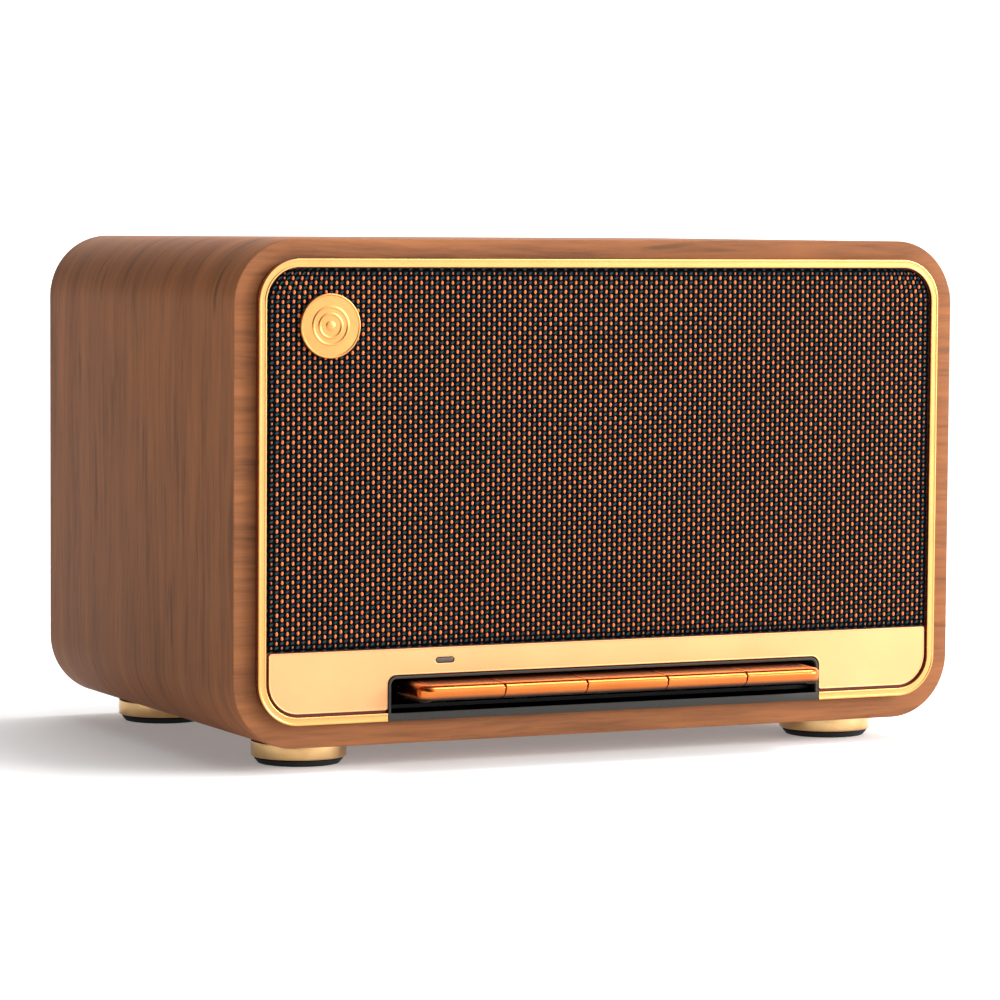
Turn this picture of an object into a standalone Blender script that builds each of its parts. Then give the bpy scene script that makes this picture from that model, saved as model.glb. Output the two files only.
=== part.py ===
"""Retro tabletop loudspeaker with a veneered wooden cabinet and five piano keys.

The front faces -Y, +X is to the right seen from the front, and +Z is up. The origin is in the middle of
the footprint, on the surface that the feet stand on. Lengths are in metres.
"""
import math

import bmesh
import bpy
from mathutils import Matrix, Vector

MM = 0.001

# ---- cabinet ----
CABINET_WIDTH = 270.0 * MM
CABINET_HEIGHT = 166.5 * MM
CABINET_DEPTH = 179.0 * MM
CABINET_CORNER_RADIUS = 21.8 * MM
WALL = 10.0 * MM
REAR_REBATE_WIDTH = 6.0 * MM
REAR_RECESS = 2.0 * MM
REAR_PANEL_THICKNESS = 3.0 * MM

# ---- clearances ----
GAP = 0.3 * MM
KEY_SIDE_GAP = 0.45 * MM
DOME_CLEARANCE = 1.2 * MM

# ---- front trim and grille ----
TRIM_SIDE_MARGIN = 7.4 * MM
TRIM_TOP_MARGIN = 6.5 * MM
TRIM_BOTTOM_MARGIN = 7.9 * MM
TRIM_WIDTH = 2.75 * MM
TRIM_THICKNESS = 1.3 * MM
TRIM_PROUD = 3.8 * MM
TRIM_CORNER_RADIUS = 14.2 * MM
CLOTH_THICKNESS = 0.6 * MM
FRAME_BORDER = 6.5 * MM
FRAME_SPIGOT_DEPTH = 7.4 * MM
BADGE_RADIUS = 10.6 * MM
BADGE_THICKNESS = 1.2 * MM
BADGE_CHAMFER = 0.4 * MM
BADGE_INSET_X = 32.2 * MM
BADGE_DROP = 28.3 * MM
BADGE_STUD_RADIUS = 1.2 * MM
BADGE_STUD_LENGTH = 3.4 * MM
BADGE_TAB_HEIGHT = 9.0 * MM
BADGE_TAB_THICKNESS = 1.5 * MM

# ---- fascia plate and indicator ----
FASCIA_ABOVE_TRAY = 8.7 * MM
FASCIA_GROOVE = 1.0 * MM
FASCIA_THICKNESS = 0.9 * MM
INDICATOR_WIDTH = 6.5 * MM
INDICATOR_HEIGHT = 1.7 * MM
INDICATOR_OFFSET_X = 60.9 * MM
INDICATOR_ABOVE_TRAY = 4.4 * MM
INDICATOR_LENGTH = 4.0 * MM

# ---- key tray ----
TRAY_SIDE_ROOM = 5.95 * MM
TRAY_ABOVE_KEYS = 1.75 * MM
TRAY_CORNER_RADIUS = 3.0 * MM
TRAY_WALL = 1.0 * MM
TRAY_DEPTH = 26.0 * MM
TRAY_LIP_HEIGHT = 2.7 * MM

# ---- keys ----
KEY_LABELS = ("source_key", "volume_down_key", "play_key", "volume_up_key", "power_key")
KEY_PITCH = 30.26 * MM
KEY_PROUD = 18.0 * MM
KEY_ABOVE_TRAY_FLOOR = 4.7 * MM
KEY_HEIGHT_BACK = 6.35 * MM
KEY_HEIGHT_FRONT = 5.65 * MM
KEY_TIP_DROP = 1.9 * MM
KEY_NOSE_DEPTH = 2.7 * MM
KEY_CHIN_DEPTH = 6.5 * MM
KEY_CAP_THICKNESS = 2.1 * MM
KEY_CAP_BACK = 3.0 * MM
KEY_NOSE_BACK = 7.5 * MM
KEY_SKIRT = 1.3 * MM
LEVER_SIDE_INSET = 2.0 * MM
PIVOT_DEPTH = 14.0 * MM
PIVOT_ABOVE_KEY_BASE = 2.0 * MM
PIVOT_RADIUS = 1.0 * MM
PIVOT_EYE_RADIUS = 2.5 * MM

# ---- key board ----
BOARD_THICKNESS = 1.2 * MM
KEY_BOARD_DEPTH = 9.0 * MM
KEY_BOARD_SETBACK = 1.0 * MM
SWITCH_SIZE = 5.0 * MM
SWITCH_HEIGHT = 0.9 * MM
RETURN_PAD_DEPTH = 4.0 * MM
RETURN_PAD_HEIGHT = 2.0 * MM

# ---- baffle and drivers ----
BAFFLE_SETBACK = 8.0 * MM
BAFFLE_THICKNESS = 8.0 * MM
BAFFLE_ABOVE_TRAY = 11.4 * MM
WOOFER_RADIUS = 52.0 * MM
FLANGE_WIDTH = 5.0 * MM
FLANGE_THICKNESS = 2.4 * MM
BASKET_WALL = 2.0 * MM
BASKET_DEPTH = 34.0 * MM
BASKET_TAPER = 17.0 * MM
BASKET_WINDOW_WIDTH = 20.0 * MM
CONE_DEPTH = 20.0 * MM
CONE_WALL = 1.0 * MM
SURROUND_ROLL = 4.6 * MM
SURROUND_WALL = 0.8 * MM
SURROUND_LANDING = 2.0 * MM
SURROUND_EDGE_INSET = 0.5 * MM
COIL_RADIUS = 13.0 * MM
COIL_WALL = 0.8 * MM
COIL_LENGTH = 22.0 * MM
COIL_CLEARANCE = 0.8 * MM
BASKET_LIP = 1.2 * MM
DUST_CAP_RISE = 5.0 * MM
DUST_CAP_WALL = 0.8 * MM
MAGNET_RADIUS = 34.0 * MM
MAGNET_THICKNESS = 20.0 * MM
MAGNET_SLOT_DEPTH = 15.0 * MM
DRIVER_SPACING = 13.0 * MM
TWEETER_RADIUS = 24.0 * MM
TWEETER_DOME_RADIUS = 12.5 * MM
TWEETER_DOME_RISE = 4.0 * MM
TWEETER_DOME_WALL = 0.5 * MM
TWEETER_FLARE = 2.0 * MM
TWEETER_MAGNET_RADIUS = 17.0 * MM
TWEETER_MAGNET_THICKNESS = 15.0 * MM

# ---- rear panel and what it carries ----
PORT_OFFSET_X = 76.0 * MM
PORT_ABOVE_BASE = 104.0 * MM
PORT_INNER_RADIUS = 17.0 * MM
PORT_WALL = 2.0 * MM
PORT_LENGTH = 82.0 * MM
PORT_FLARE = 7.0 * MM
PORT_FLANGE_THICKNESS = 1.4 * MM
SCREW_SHANK_RADIUS = 1.4 * MM
SCREW_SHANK_LENGTH = 11.0 * MM
SCREW_HEAD_RADIUS = 2.8 * MM
SCREW_HEAD_HEIGHT = 1.4 * MM
AMPLIFIER_WIDTH = 96.0 * MM
AMPLIFIER_HEIGHT = 62.0 * MM
AMPLIFIER_OFFSET_X = -56.0 * MM
AMPLIFIER_ABOVE_BASE = 106.0 * MM
AMPLIFIER_STANDOFF = 10.0 * MM
POST_RADIUS = 2.5 * MM
POST_INSET = 6.0 * MM
HEATSINK_WIDTH = 50.0 * MM
HEATSINK_HEIGHT = 40.0 * MM
HEATSINK_DEPTH = 14.0 * MM
HEATSINK_BASE = 3.0 * MM
HEATSINK_FINS = 5
FIN_THICKNESS = 2.0 * MM
INPUT_BOARD_WIDTH = 60.0 * MM
INPUT_BOARD_DEPTH = 24.0 * MM
SOCKET_ABOVE_BASE = 38.0 * MM
USB_OFFSET_X = -14.0 * MM
USB_WIDTH = 9.2 * MM
USB_HEIGHT = 3.4 * MM
USB_LENGTH = 9.0 * MM
AUX_OFFSET_X = 14.0 * MM
AUX_BODY = 6.4 * MM
AUX_BUSH_RADIUS = 3.1 * MM
AUX_HOLE_RADIUS = 1.8 * MM
AUX_BUSH_PROUD = 0.6 * MM
AUX_LENGTH = 12.0 * MM
SOCKET_WALL = 0.5 * MM

# ---- battery ----
BATTERY_WIDTH = 78.0 * MM
BATTERY_DEPTH = 40.0 * MM
BATTERY_HEIGHT = 20.0 * MM
BATTERY_SETBACK = 88.0 * MM
CRADLE_WALL = 2.0 * MM
CRADLE_RIM = 9.0 * MM

# ---- feet ----
FOOT_HEIGHT = 8.0 * MM
FOOT_RADIUS = 16.0 * MM
FOOT_RING_HEIGHT = 5.4 * MM
FOOT_CHAMFER = 0.5 * MM
FOOT_INSET_X = 34.0 * MM
FOOT_INSET_Y = 26.0 * MM
PAD_TOP_RADIUS = 15.2 * MM
PAD_BOTTOM_RADIUS = 13.6 * MM
FOOT_RECESS_RADIUS = 11.5 * MM
FOOT_RECESS_DEPTH = 2.6 * MM
PAD_BOSS_HEIGHT = 0.6 * MM
BOLT_SHANK_RADIUS = 1.8 * MM
BOLT_SHANK_LENGTH = 9.0 * MM
BOLT_HEAD_RADIUS = 3.6 * MM
BOLT_HEAD_HEIGHT = 1.2 * MM

# ---- facets ----
CORNER_STEPS = 6
SMALL_CORNER_STEPS = 4
ROUND_STEPS = 28
SMALL_ROUND_STEPS = 12
DOME_STEPS = 3
ROUND_END = 0.98
SMOOTH_ANGLE = math.radians(32.0)

# ---- sizes and levels that follow from the ones above ----
WOOFER_HOLE_RADIUS = WOOFER_RADIUS - FLANGE_WIDTH
BASKET_BACK_RADIUS = WOOFER_HOLE_RADIUS - BASKET_TAPER
CONE_RADIUS = WOOFER_RADIUS - SURROUND_EDGE_INSET - SURROUND_LANDING - 2.0 * SURROUND_ROLL - GAP
TWEETER_OFFSET_X = WOOFER_RADIUS + DRIVER_SPACING + TWEETER_RADIUS
TRAY_WIDTH = len(KEY_LABELS) * KEY_PITCH + 2.0 * TRAY_SIDE_ROOM
TRAY_FLOOR = WALL + GAP
KEY_BASE = TRAY_FLOOR + KEY_ABOVE_TRAY_FLOOR
KEY_TOP_BACK = KEY_BASE + KEY_HEIGHT_BACK
KEY_TOP_FRONT = KEY_BASE + KEY_HEIGHT_FRONT
TRAY_TOP = KEY_TOP_BACK + TRAY_ABOVE_KEYS
INDICATOR_ABOVE_BASE = TRAY_TOP + INDICATOR_ABOVE_TRAY
FASCIA_TOP = TRAY_TOP + FASCIA_ABOVE_TRAY
BAFFLE_BOTTOM = TRAY_TOP + BAFFLE_ABOVE_TRAY
BAFFLE_TOP = CABINET_HEIGHT - WALL - GAP
BASE_Z = FOOT_HEIGHT
FRONT_Y = KEY_PROUD - (CABINET_DEPTH + KEY_PROUD) / 2.0
BACK_Y = FRONT_Y + CABINET_DEPTH
LEFT_X = -CABINET_WIDTH / 2.0
RIGHT_X = CABINET_WIDTH / 2.0
TOP_Z = BASE_Z + CABINET_HEIGHT
TRIM_FRONT_Y = FRONT_Y - TRIM_PROUD
TRIM_BACK_Y = TRIM_FRONT_Y + TRIM_THICKNESS
FRAME_FRONT_Y = TRIM_BACK_Y + GAP
CLOTH_FRONT_Y = TRIM_BACK_Y - CLOTH_THICKNESS
FASCIA_FRONT_Y = TRIM_BACK_Y - FASCIA_THICKNESS
BAFFLE_FRONT_Y = FRONT_Y + BAFFLE_SETBACK
BAFFLE_BACK_Y = BAFFLE_FRONT_Y + BAFFLE_THICKNESS
FLANGE_BACK_Y = BAFFLE_FRONT_Y - GAP
FLANGE_FRONT_Y = FLANGE_BACK_Y - FLANGE_THICKNESS
PANEL_BACK_Y = BACK_Y - REAR_RECESS
PANEL_FRONT_Y = PANEL_BACK_Y - REAR_PANEL_THICKNESS
DRIVER_Z = BASE_Z + (BAFFLE_BOTTOM + BAFFLE_TOP) / 2.0
TRAY_FLOOR_Z = BASE_Z + TRAY_FLOOR
TRAY_BACK_Y = FRONT_Y + TRAY_DEPTH
PIVOT_Y = FRONT_Y + PIVOT_DEPTH
PIVOT_Z = BASE_Z + KEY_BASE + PIVOT_ABOVE_KEY_BASE
CUT_OVERRUN = 5.0 * MM


# ---- shape helpers ----
def rounded_outline(x0, x1, z0, z1, radii, steps=CORNER_STEPS):
    """Counter-clockwise outline in X and Z; radii are bottom right, top right, top left, bottom left."""
    corners = ((x1, z0, -1, 1, -90.0), (x1, z1, -1, -1, 0.0), (x0, z1, 1, -1, 90.0), (x0, z0, 1, 1, 180.0))
    points = []
    for (x, z, toward_x, toward_z, start), radius in zip(corners, radii):
        if radius <= 0.0:
            points.append((x, z))
            continue
        centre_x = x + toward_x * radius
        centre_z = z + toward_z * radius
        for step in range(steps + 1):
            angle = math.radians(start + 90.0 * step / steps)
            points.append((centre_x + radius * math.cos(angle), centre_z + radius * math.sin(angle)))
    return points


def cabinet_outline(inset):
    """Outline of the cabinet, moved in by inset."""
    radius = CABINET_CORNER_RADIUS - inset
    return rounded_outline(LEFT_X + inset, RIGHT_X - inset, BASE_Z + inset, TOP_Z - inset, (radius,) * 4)


def trim_box(inset):
    """Sides of the trim ring's outer outline, moved in by inset: left, right, bottom, top."""
    return (
        LEFT_X + TRIM_SIDE_MARGIN + inset,
        RIGHT_X - TRIM_SIDE_MARGIN - inset,
        BASE_Z + TRIM_BOTTOM_MARGIN + inset,
        TOP_Z - TRIM_TOP_MARGIN - inset,
    )


def trim_outline(inset):
    """Outline of the trim ring's outer edge, moved in by inset."""
    return rounded_outline(*trim_box(inset), (TRIM_CORNER_RADIUS - inset,) * 4)


def prism(outline, y_front, y_back):
    """Solid with the given X and Z outline between two depths."""
    bm = bmesh.new()
    front = [bm.verts.new((x, y_front, z)) for x, z in outline]
    back = [bm.verts.new((x, y_back, z)) for x, z in outline]
    count = len(outline)
    bm.faces.new(front)
    bm.faces.new(reversed(back))
    for index in range(count):
        following = (index + 1) % count
        bm.faces.new((front[index], back[index], back[following], front[following]))
    return bm


def hollow_prism(outer, inner, y_front, y_back):
    """Closed frame between two outlines that have the same number of points."""
    bm = bmesh.new()
    loops = []
    for outline, y in ((outer, y_front), (outer, y_back), (inner, y_back), (inner, y_front)):
        loops.append([bm.verts.new((x, y, z)) for x, z in outline])
    count = len(outer)
    for ring, following_ring in zip(loops, loops[1:] + loops[:1]):
        for index in range(count):
            following = (index + 1) % count
            bm.faces.new((ring[index], ring[following], following_ring[following], following_ring[index]))
    return bm


def side_prism(outline, x_left, x_right):
    """Solid with the given Y and Z outline between two X positions."""
    bm = bmesh.new()
    left = [bm.verts.new((x_left, y, z)) for y, z in outline]
    right = [bm.verts.new((x_right, y, z)) for y, z in outline]
    count = len(outline)
    bm.faces.new(left)
    bm.faces.new(reversed(right))
    for index in range(count):
        following = (index + 1) % count
        bm.faces.new((left[index], right[index], right[following], left[following]))
    return bm


def block(x0, x1, y0, y1, z0, z1):
    """Rectangular solid between two corners."""
    return prism([(x0, z0), (x1, z0), (x1, z1), (x0, z1)], y0, y1)


def turned(profile, centre, axis, steps=ROUND_STEPS):
    """Solid of revolution: a closed profile of (radius, position along the axis) spun about the axis."""
    bm = bmesh.new()
    columns = []
    for radius, along in profile:
        if radius <= 0.0:
            columns.append([bm.verts.new((0.0, 0.0, along))])
            continue
        column = []
        for step in range(steps):
            angle = 2.0 * math.pi * step / steps
            column.append(bm.verts.new((radius * math.cos(angle), radius * math.sin(angle), along)))
        columns.append(column)
    for column, following_column in zip(columns, columns[1:] + columns[:1]):
        if len(column) == 1 and len(following_column) == 1:
            continue
        for step in range(steps):
            following = (step + 1) % steps
            if len(column) == 1:
                bm.faces.new((column[0], following_column[following], following_column[step]))
            elif len(following_column) == 1:
                bm.faces.new((column[step], column[following], following_column[0]))
            else:
                bm.faces.new(
                    (column[step], column[following], following_column[following], following_column[step])
                )
    turn = Vector((0.0, 0.0, 1.0)).rotation_difference(Vector(axis)).to_matrix().to_4x4()
    bmesh.ops.transform(bm, matrix=Matrix.Translation(centre) @ turn, verts=bm.verts)
    return bm


def to_object(name, bm):
    """Put a closed shape into the scene with its faces pointing out."""
    bmesh.ops.recalc_face_normals(bm, faces=bm.faces)
    mesh = bpy.data.meshes.new(name)
    bm.to_mesh(mesh)
    bm.free()
    made = bpy.data.objects.new(name, mesh)
    bpy.context.scene.collection.objects.link(made)
    return made


def make_finish(name, colour, roughness, metallic):
    """Plain finish with a colour, a roughness and a metallic value."""
    material = bpy.data.materials.new(name)
    material.use_nodes = True
    shader = material.node_tree.nodes["Principled BSDF"]
    shader.inputs["Base Color"].default_value = (*colour, 1.0)
    shader.inputs["Roughness"].default_value = roughness
    shader.inputs["Metallic"].default_value = metallic
    return material


def piece(name, bm, finish):
    """One named piece with its own copy of a finish."""
    made = to_object(name, bm)
    material = make_finish(name, *finish)
    made.data.materials.append(material)
    return made


def round_piece(name, bm, finish):
    """A piece whose curved faces are shaded smooth."""
    made = piece(name, bm, finish)
    made.data.shade_smooth()
    made.data.set_sharp_from_angle(angle=SMOOTH_ANGLE)
    return made


def shape_with(target, bm, operation):
    """Cut a tool shape out of a piece or join it on; the tool stays as a hidden guide."""
    guide = to_object(target.name + "_guide", bm)
    guide.hide_render = True
    guide.display_type = "WIRE"
    modifier = target.modifiers.new(operation.lower(), "BOOLEAN")
    modifier.operation = operation
    modifier.solver = "EXACT"
    modifier.object = guide


def cut(target, bm):
    """Take a shape away from a piece."""
    shape_with(target, bm, "DIFFERENCE")


def join(target, bm):
    """Add a shape to a piece so that both are one body."""
    shape_with(target, bm, "UNION")


def set_origin(target, point):
    """Move a piece's origin without moving the piece."""
    target.data.transform(Matrix.Translation(-Vector(point)))
    target.location = point


def drill(radius, centre_x, centre_z, y_front, y_back):
    """Round tool along Y for drilling a hole."""
    length = y_back - y_front
    profile = [(0.0, 0.0), (radius, 0.0), (radius, length), (0.0, length)]
    return turned(profile, (centre_x, y_front, centre_z), (0.0, 1.0, 0.0), SMALL_ROUND_STEPS)


# ---- finishes ----
WALNUT = ((0.24, 0.11, 0.055), 0.45, 0.0)
GOLD = ((0.92, 0.60, 0.30), 0.25, 1.0)
COPPER = ((0.80, 0.33, 0.12), 0.15, 1.0)
BRASS = ((0.70, 0.55, 0.30), 0.3, 1.0)
STEEL = ((0.60, 0.60, 0.60), 0.35, 1.0)
BLACK_PLASTIC = ((0.02, 0.02, 0.02), 0.5, 0.0)
GREY_PLASTIC = ((0.06, 0.06, 0.06), 0.45, 0.0)
BLACK_RUBBER = ((0.015, 0.015, 0.015), 0.8, 0.0)
BLACK_FABRIC = ((0.03, 0.03, 0.035), 0.9, 0.0)
PAPER = ((0.05, 0.05, 0.05), 0.85, 0.0)
FERRITE = ((0.08, 0.08, 0.085), 0.6, 0.0)
SMOKED_LENS = ((0.10, 0.10, 0.11), 0.2, 0.0)
CIRCUIT_GREEN = ((0.02, 0.14, 0.07), 0.5, 0.0)
ALUMINIUM = ((0.70, 0.70, 0.72), 0.4, 1.0)
SILK = ((0.07, 0.05, 0.04), 0.6, 0.0)
BATTERY_BLUE = ((0.03, 0.07, 0.22), 0.4, 0.0)


# ---- cabinet ----
def rear_screw_places():
    """X and Z of the four rear screws, in the middle of the rebate at each corner."""
    ledge_radius = CABINET_CORNER_RADIUS - WALL + REAR_REBATE_WIDTH / 2.0
    inset = CABINET_CORNER_RADIUS - ledge_radius * math.cos(math.radians(45.0))
    return [
        (x, z)
        for x in (LEFT_X + inset, RIGHT_X - inset)
        for z in (BASE_Z + inset, TOP_Z - inset)
    ]


def foot_places():
    """Name, X and Y of each foot."""
    places = []
    for depth_name, y in (("front", FRONT_Y + FOOT_INSET_Y), ("rear", BACK_Y - FOOT_INSET_Y)):
        for side_name, x in (("left", LEFT_X + FOOT_INSET_X), ("right", RIGHT_X - FOOT_INSET_X)):
            places.append((depth_name + "_" + side_name, x, y))
    return places


def make_cabinet_shell():
    walls = hollow_prism(cabinet_outline(0.0), cabinet_outline(WALL), FRONT_Y, BACK_Y)
    shell = piece("cabinet_shell", walls, WALNUT)
    rebate = prism(cabinet_outline(WALL - REAR_REBATE_WIDTH), PANEL_FRONT_Y - GAP, BACK_Y + CUT_OVERRUN)
    cut(shell, rebate)
    hole_front = PANEL_FRONT_Y - SCREW_SHANK_LENGTH
    for x, z in rear_screw_places():
        cut(shell, drill(SCREW_SHANK_RADIUS + GAP, x, z, hole_front, BACK_Y))
    hole_radius = BOLT_SHANK_RADIUS + GAP
    for _, x, y in foot_places():
        profile = [(0.0, -CUT_OVERRUN), (hole_radius, -CUT_OVERRUN), (hole_radius, WALL + CUT_OVERRUN)]
        profile.append((0.0, WALL + CUT_OVERRUN))
        cut(shell, turned(profile, (x, y, BASE_Z), (0.0, 0.0, 1.0), SMALL_ROUND_STEPS))


# ---- front: frame, cloth, trim, badge, fascia ----
def tray_opening(inset, y_front, y_back):
    """Tool or body shape of the key tray's mouth, open downwards past the trim ring."""
    outline = rounded_outline(
        -TRAY_WIDTH / 2.0 + inset,
        TRAY_WIDTH / 2.0 - inset,
        BASE_Z - CUT_OVERRUN,
        BASE_Z + TRAY_TOP - inset,
        (0.0, TRAY_CORNER_RADIUS, TRAY_CORNER_RADIUS, 0.0),
        SMALL_CORNER_STEPS,
    )
    return prism(outline, y_front, y_back)


def badge_centre():
    return LEFT_X + BADGE_INSET_X, TOP_Z - BADGE_DROP


def indicator_outline(clearance):
    """Round-ended slot of the indicator, made larger by clearance."""
    half_width = INDICATOR_WIDTH / 2.0 + clearance
    half_height = INDICATOR_HEIGHT / 2.0 + clearance
    z = BASE_Z + INDICATOR_ABOVE_BASE
    return rounded_outline(
        -INDICATOR_OFFSET_X - half_width,
        -INDICATOR_OFFSET_X + half_width,
        z - half_height,
        z + half_height,
        (half_height * ROUND_END,) * 4,
        SMALL_CORNER_STEPS,
    )


def make_grille_frame():
    flange_back = FRONT_Y - GAP
    frame = piece("grille_frame", prism(trim_outline(GAP), FRAME_FRONT_Y, flange_back), BLACK_PLASTIC)
    spigot_back = BAFFLE_FRONT_Y - GAP
    join(frame, prism(cabinet_outline(WALL + GAP), flange_back - GAP, spigot_back))
    left, right, _, top = trim_box(TRIM_WIDTH + FRAME_BORDER)
    bottom = BASE_Z + FASCIA_TOP + GAP
    radius = TRIM_CORNER_RADIUS - TRIM_WIDTH - FRAME_BORDER
    window = rounded_outline(left, right, bottom, top, (radius,) * 4, SMALL_CORNER_STEPS)
    cut(frame, prism(window, FRAME_FRONT_Y - CUT_OVERRUN, spigot_back + CUT_OVERRUN))
    cut(frame, tray_opening(-GAP, FRAME_FRONT_Y - CUT_OVERRUN, spigot_back + CUT_OVERRUN))
    badge_x, badge_z = badge_centre()
    tab_half = BADGE_TAB_HEIGHT / 2.0
    tab = block(
        left - FRAME_BORDER / 2.0,
        badge_x + tab_half,
        FRAME_FRONT_Y,
        FRAME_FRONT_Y + BADGE_TAB_THICKNESS,
        badge_z - tab_half,
        badge_z + tab_half,
    )
    join(frame, tab)
    stud_hole = BADGE_STUD_RADIUS + GAP
    cut(frame, drill(stud_hole, badge_x, badge_z, FRAME_FRONT_Y - CUT_OVERRUN, FRAME_FRONT_Y + CUT_OVERRUN))
    cut(frame, prism(indicator_outline(GAP), FRAME_FRONT_Y - CUT_OVERRUN, spigot_back + CUT_OVERRUN))


def make_trim_ring():
    ring = hollow_prism(trim_outline(0.0), trim_outline(TRIM_WIDTH), TRIM_FRONT_Y, TRIM_BACK_Y)
    trim = piece("trim_ring", ring, GOLD)
    cut(trim, tray_opening(0.0, TRIM_FRONT_Y - CUT_OVERRUN, TRIM_BACK_Y + CUT_OVERRUN))


def make_grille_cloth():
    left, right, _, top = trim_box(TRIM_WIDTH + GAP)
    radius = TRIM_CORNER_RADIUS - TRIM_WIDTH - GAP
    bottom = BASE_Z + FASCIA_TOP + GAP
    outline = rounded_outline(left, right, bottom, top, (0.0, radius, radius, 0.0))
    cloth = piece("grille_cloth", prism(outline, CLOTH_FRONT_Y, TRIM_BACK_Y), BLACK_FABRIC)
    badge_x, badge_z = badge_centre()
    hole_radius = BADGE_STUD_RADIUS + GAP
    cut(cloth, drill(hole_radius, badge_x, badge_z, CLOTH_FRONT_Y - CUT_OVERRUN, TRIM_BACK_Y + CUT_OVERRUN))


def make_grille_badge():
    badge_x, badge_z = badge_centre()
    stud = BADGE_THICKNESS + BADGE_STUD_LENGTH
    profile = [
        (0.0, 0.0),
        (BADGE_RADIUS - BADGE_CHAMFER, 0.0),
        (BADGE_RADIUS, BADGE_CHAMFER),
        (BADGE_RADIUS, BADGE_THICKNESS),
        (BADGE_STUD_RADIUS, BADGE_THICKNESS),
        (BADGE_STUD_RADIUS, stud),
        (0.0, stud),
    ]
    front = CLOTH_FRONT_Y - GAP - BADGE_THICKNESS
    round_piece("grille_badge", turned(profile, (badge_x, front, badge_z), (0.0, 1.0, 0.0)), GOLD)


def make_fascia_plate():
    inset = TRIM_WIDTH + FASCIA_GROOVE
    left, right, bottom, _ = trim_box(inset)
    radius = TRIM_CORNER_RADIUS - inset
    outline = rounded_outline(left, right, bottom, BASE_Z + FASCIA_TOP, (radius, 0.0, 0.0, radius))
    plate = piece("fascia_plate", prism(outline, FASCIA_FRONT_Y, TRIM_BACK_Y), GOLD)
    cut(plate, tray_opening(0.0, FASCIA_FRONT_Y - CUT_OVERRUN, TRIM_BACK_Y + CUT_OVERRUN))
    cut(plate, prism(indicator_outline(GAP), FASCIA_FRONT_Y - CUT_OVERRUN, TRIM_BACK_Y + CUT_OVERRUN))


def make_indicator_lens():
    front = FASCIA_FRONT_Y + GAP
    piece("indicator_lens", prism(indicator_outline(0.0), front, front + INDICATOR_LENGTH), SMOKED_LENS)


# ---- key tray, rod, board and keys ----
def make_key_tray():
    half = TRAY_WIDTH / 2.0 - GAP
    top = BASE_Z + TRAY_TOP - GAP
    radii = (0.0, TRAY_CORNER_RADIUS - GAP, TRAY_CORNER_RADIUS - GAP, 0.0)
    outline = rounded_outline(-half, half, TRAY_FLOOR_Z, top, radii, SMALL_CORNER_STEPS)
    tray = piece("key_tray", prism(outline, FASCIA_FRONT_Y, TRAY_BACK_Y), GREY_PLASTIC)
    inner_radius = TRAY_CORNER_RADIUS - GAP - TRAY_WALL
    hollow = rounded_outline(
        -half + TRAY_WALL,
        half - TRAY_WALL,
        TRAY_FLOOR_Z + TRAY_WALL,
        top - TRAY_WALL,
        (0.0, inner_radius, inner_radius, 0.0),
        SMALL_CORNER_STEPS,
    )
    cut(tray, prism(hollow, FASCIA_FRONT_Y - CUT_OVERRUN, TRAY_BACK_Y - TRAY_WALL))
    lip_bottom = BASE_Z + TRIM_BOTTOM_MARGIN
    lip_back = FRONT_Y - GAP
    lip_middle = (TRIM_FRONT_Y + lip_back) / 2.0
    join(tray, block(-half, half, lip_middle, lip_back, lip_bottom, TRAY_FLOOR_Z + TRAY_WALL))
    join(tray, block(-half, half, TRIM_FRONT_Y, lip_back, lip_bottom, lip_bottom + TRAY_LIP_HEIGHT))
    rod_hole = PIVOT_RADIUS + GAP
    bore_length = 2.0 * (half + CUT_OVERRUN)
    profile = [(0.0, 0.0), (rod_hole, 0.0), (rod_hole, bore_length), (0.0, bore_length)]
    bore_start = (-half - CUT_OVERRUN, PIVOT_Y, PIVOT_Z)
    cut(tray, turned(profile, bore_start, (1.0, 0.0, 0.0), SMALL_ROUND_STEPS))


def make_key_pivot_rod():
    half = TRAY_WIDTH / 2.0 - GAP
    profile = [(0.0, -half), (PIVOT_RADIUS, -half), (PIVOT_RADIUS, half), (0.0, half)]
    rod = turned(profile, (0.0, PIVOT_Y, PIVOT_Z), (1.0, 0.0, 0.0), SMALL_ROUND_STEPS)
    round_piece("key_pivot_rod", rod, STEEL)


def key_centre_x(index):
    return (index - (len(KEY_LABELS) - 1) / 2.0) * KEY_PITCH


def make_key_board():
    half = TRAY_WIDTH / 2.0 - GAP - TRAY_WALL - GAP
    front = FRONT_Y + KEY_BOARD_SETBACK
    low = TRAY_FLOOR_Z + TRAY_WALL + GAP
    top = low + BOARD_THICKNESS
    board = piece("key_board", block(-half, half, front, front + KEY_BOARD_DEPTH, low, top), CIRCUIT_GREEN)
    switch_front = front + SWITCH_SIZE / 4.0
    for index in range(len(KEY_LABELS)):
        x = key_centre_x(index)
        switch = block(
            x - SWITCH_SIZE / 2.0,
            x + SWITCH_SIZE / 2.0,
            switch_front,
            switch_front + SWITCH_SIZE,
            top - BOARD_THICKNESS / 2.0,
            top + SWITCH_HEIGHT,
        )
        join(board, switch)


def make_key_return_pad():
    half = KEY_PITCH * len(KEY_LABELS) / 2.0
    front = FRONT_Y + KEY_BOARD_SETBACK + KEY_BOARD_DEPTH + GAP
    low = TRAY_FLOOR_Z + TRAY_WALL + GAP
    pad = block(-half, half, front, front + RETURN_PAD_DEPTH, low, low + RETURN_PAD_HEIGHT)
    piece("key_return_pad", pad, BLACK_RUBBER)


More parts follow.
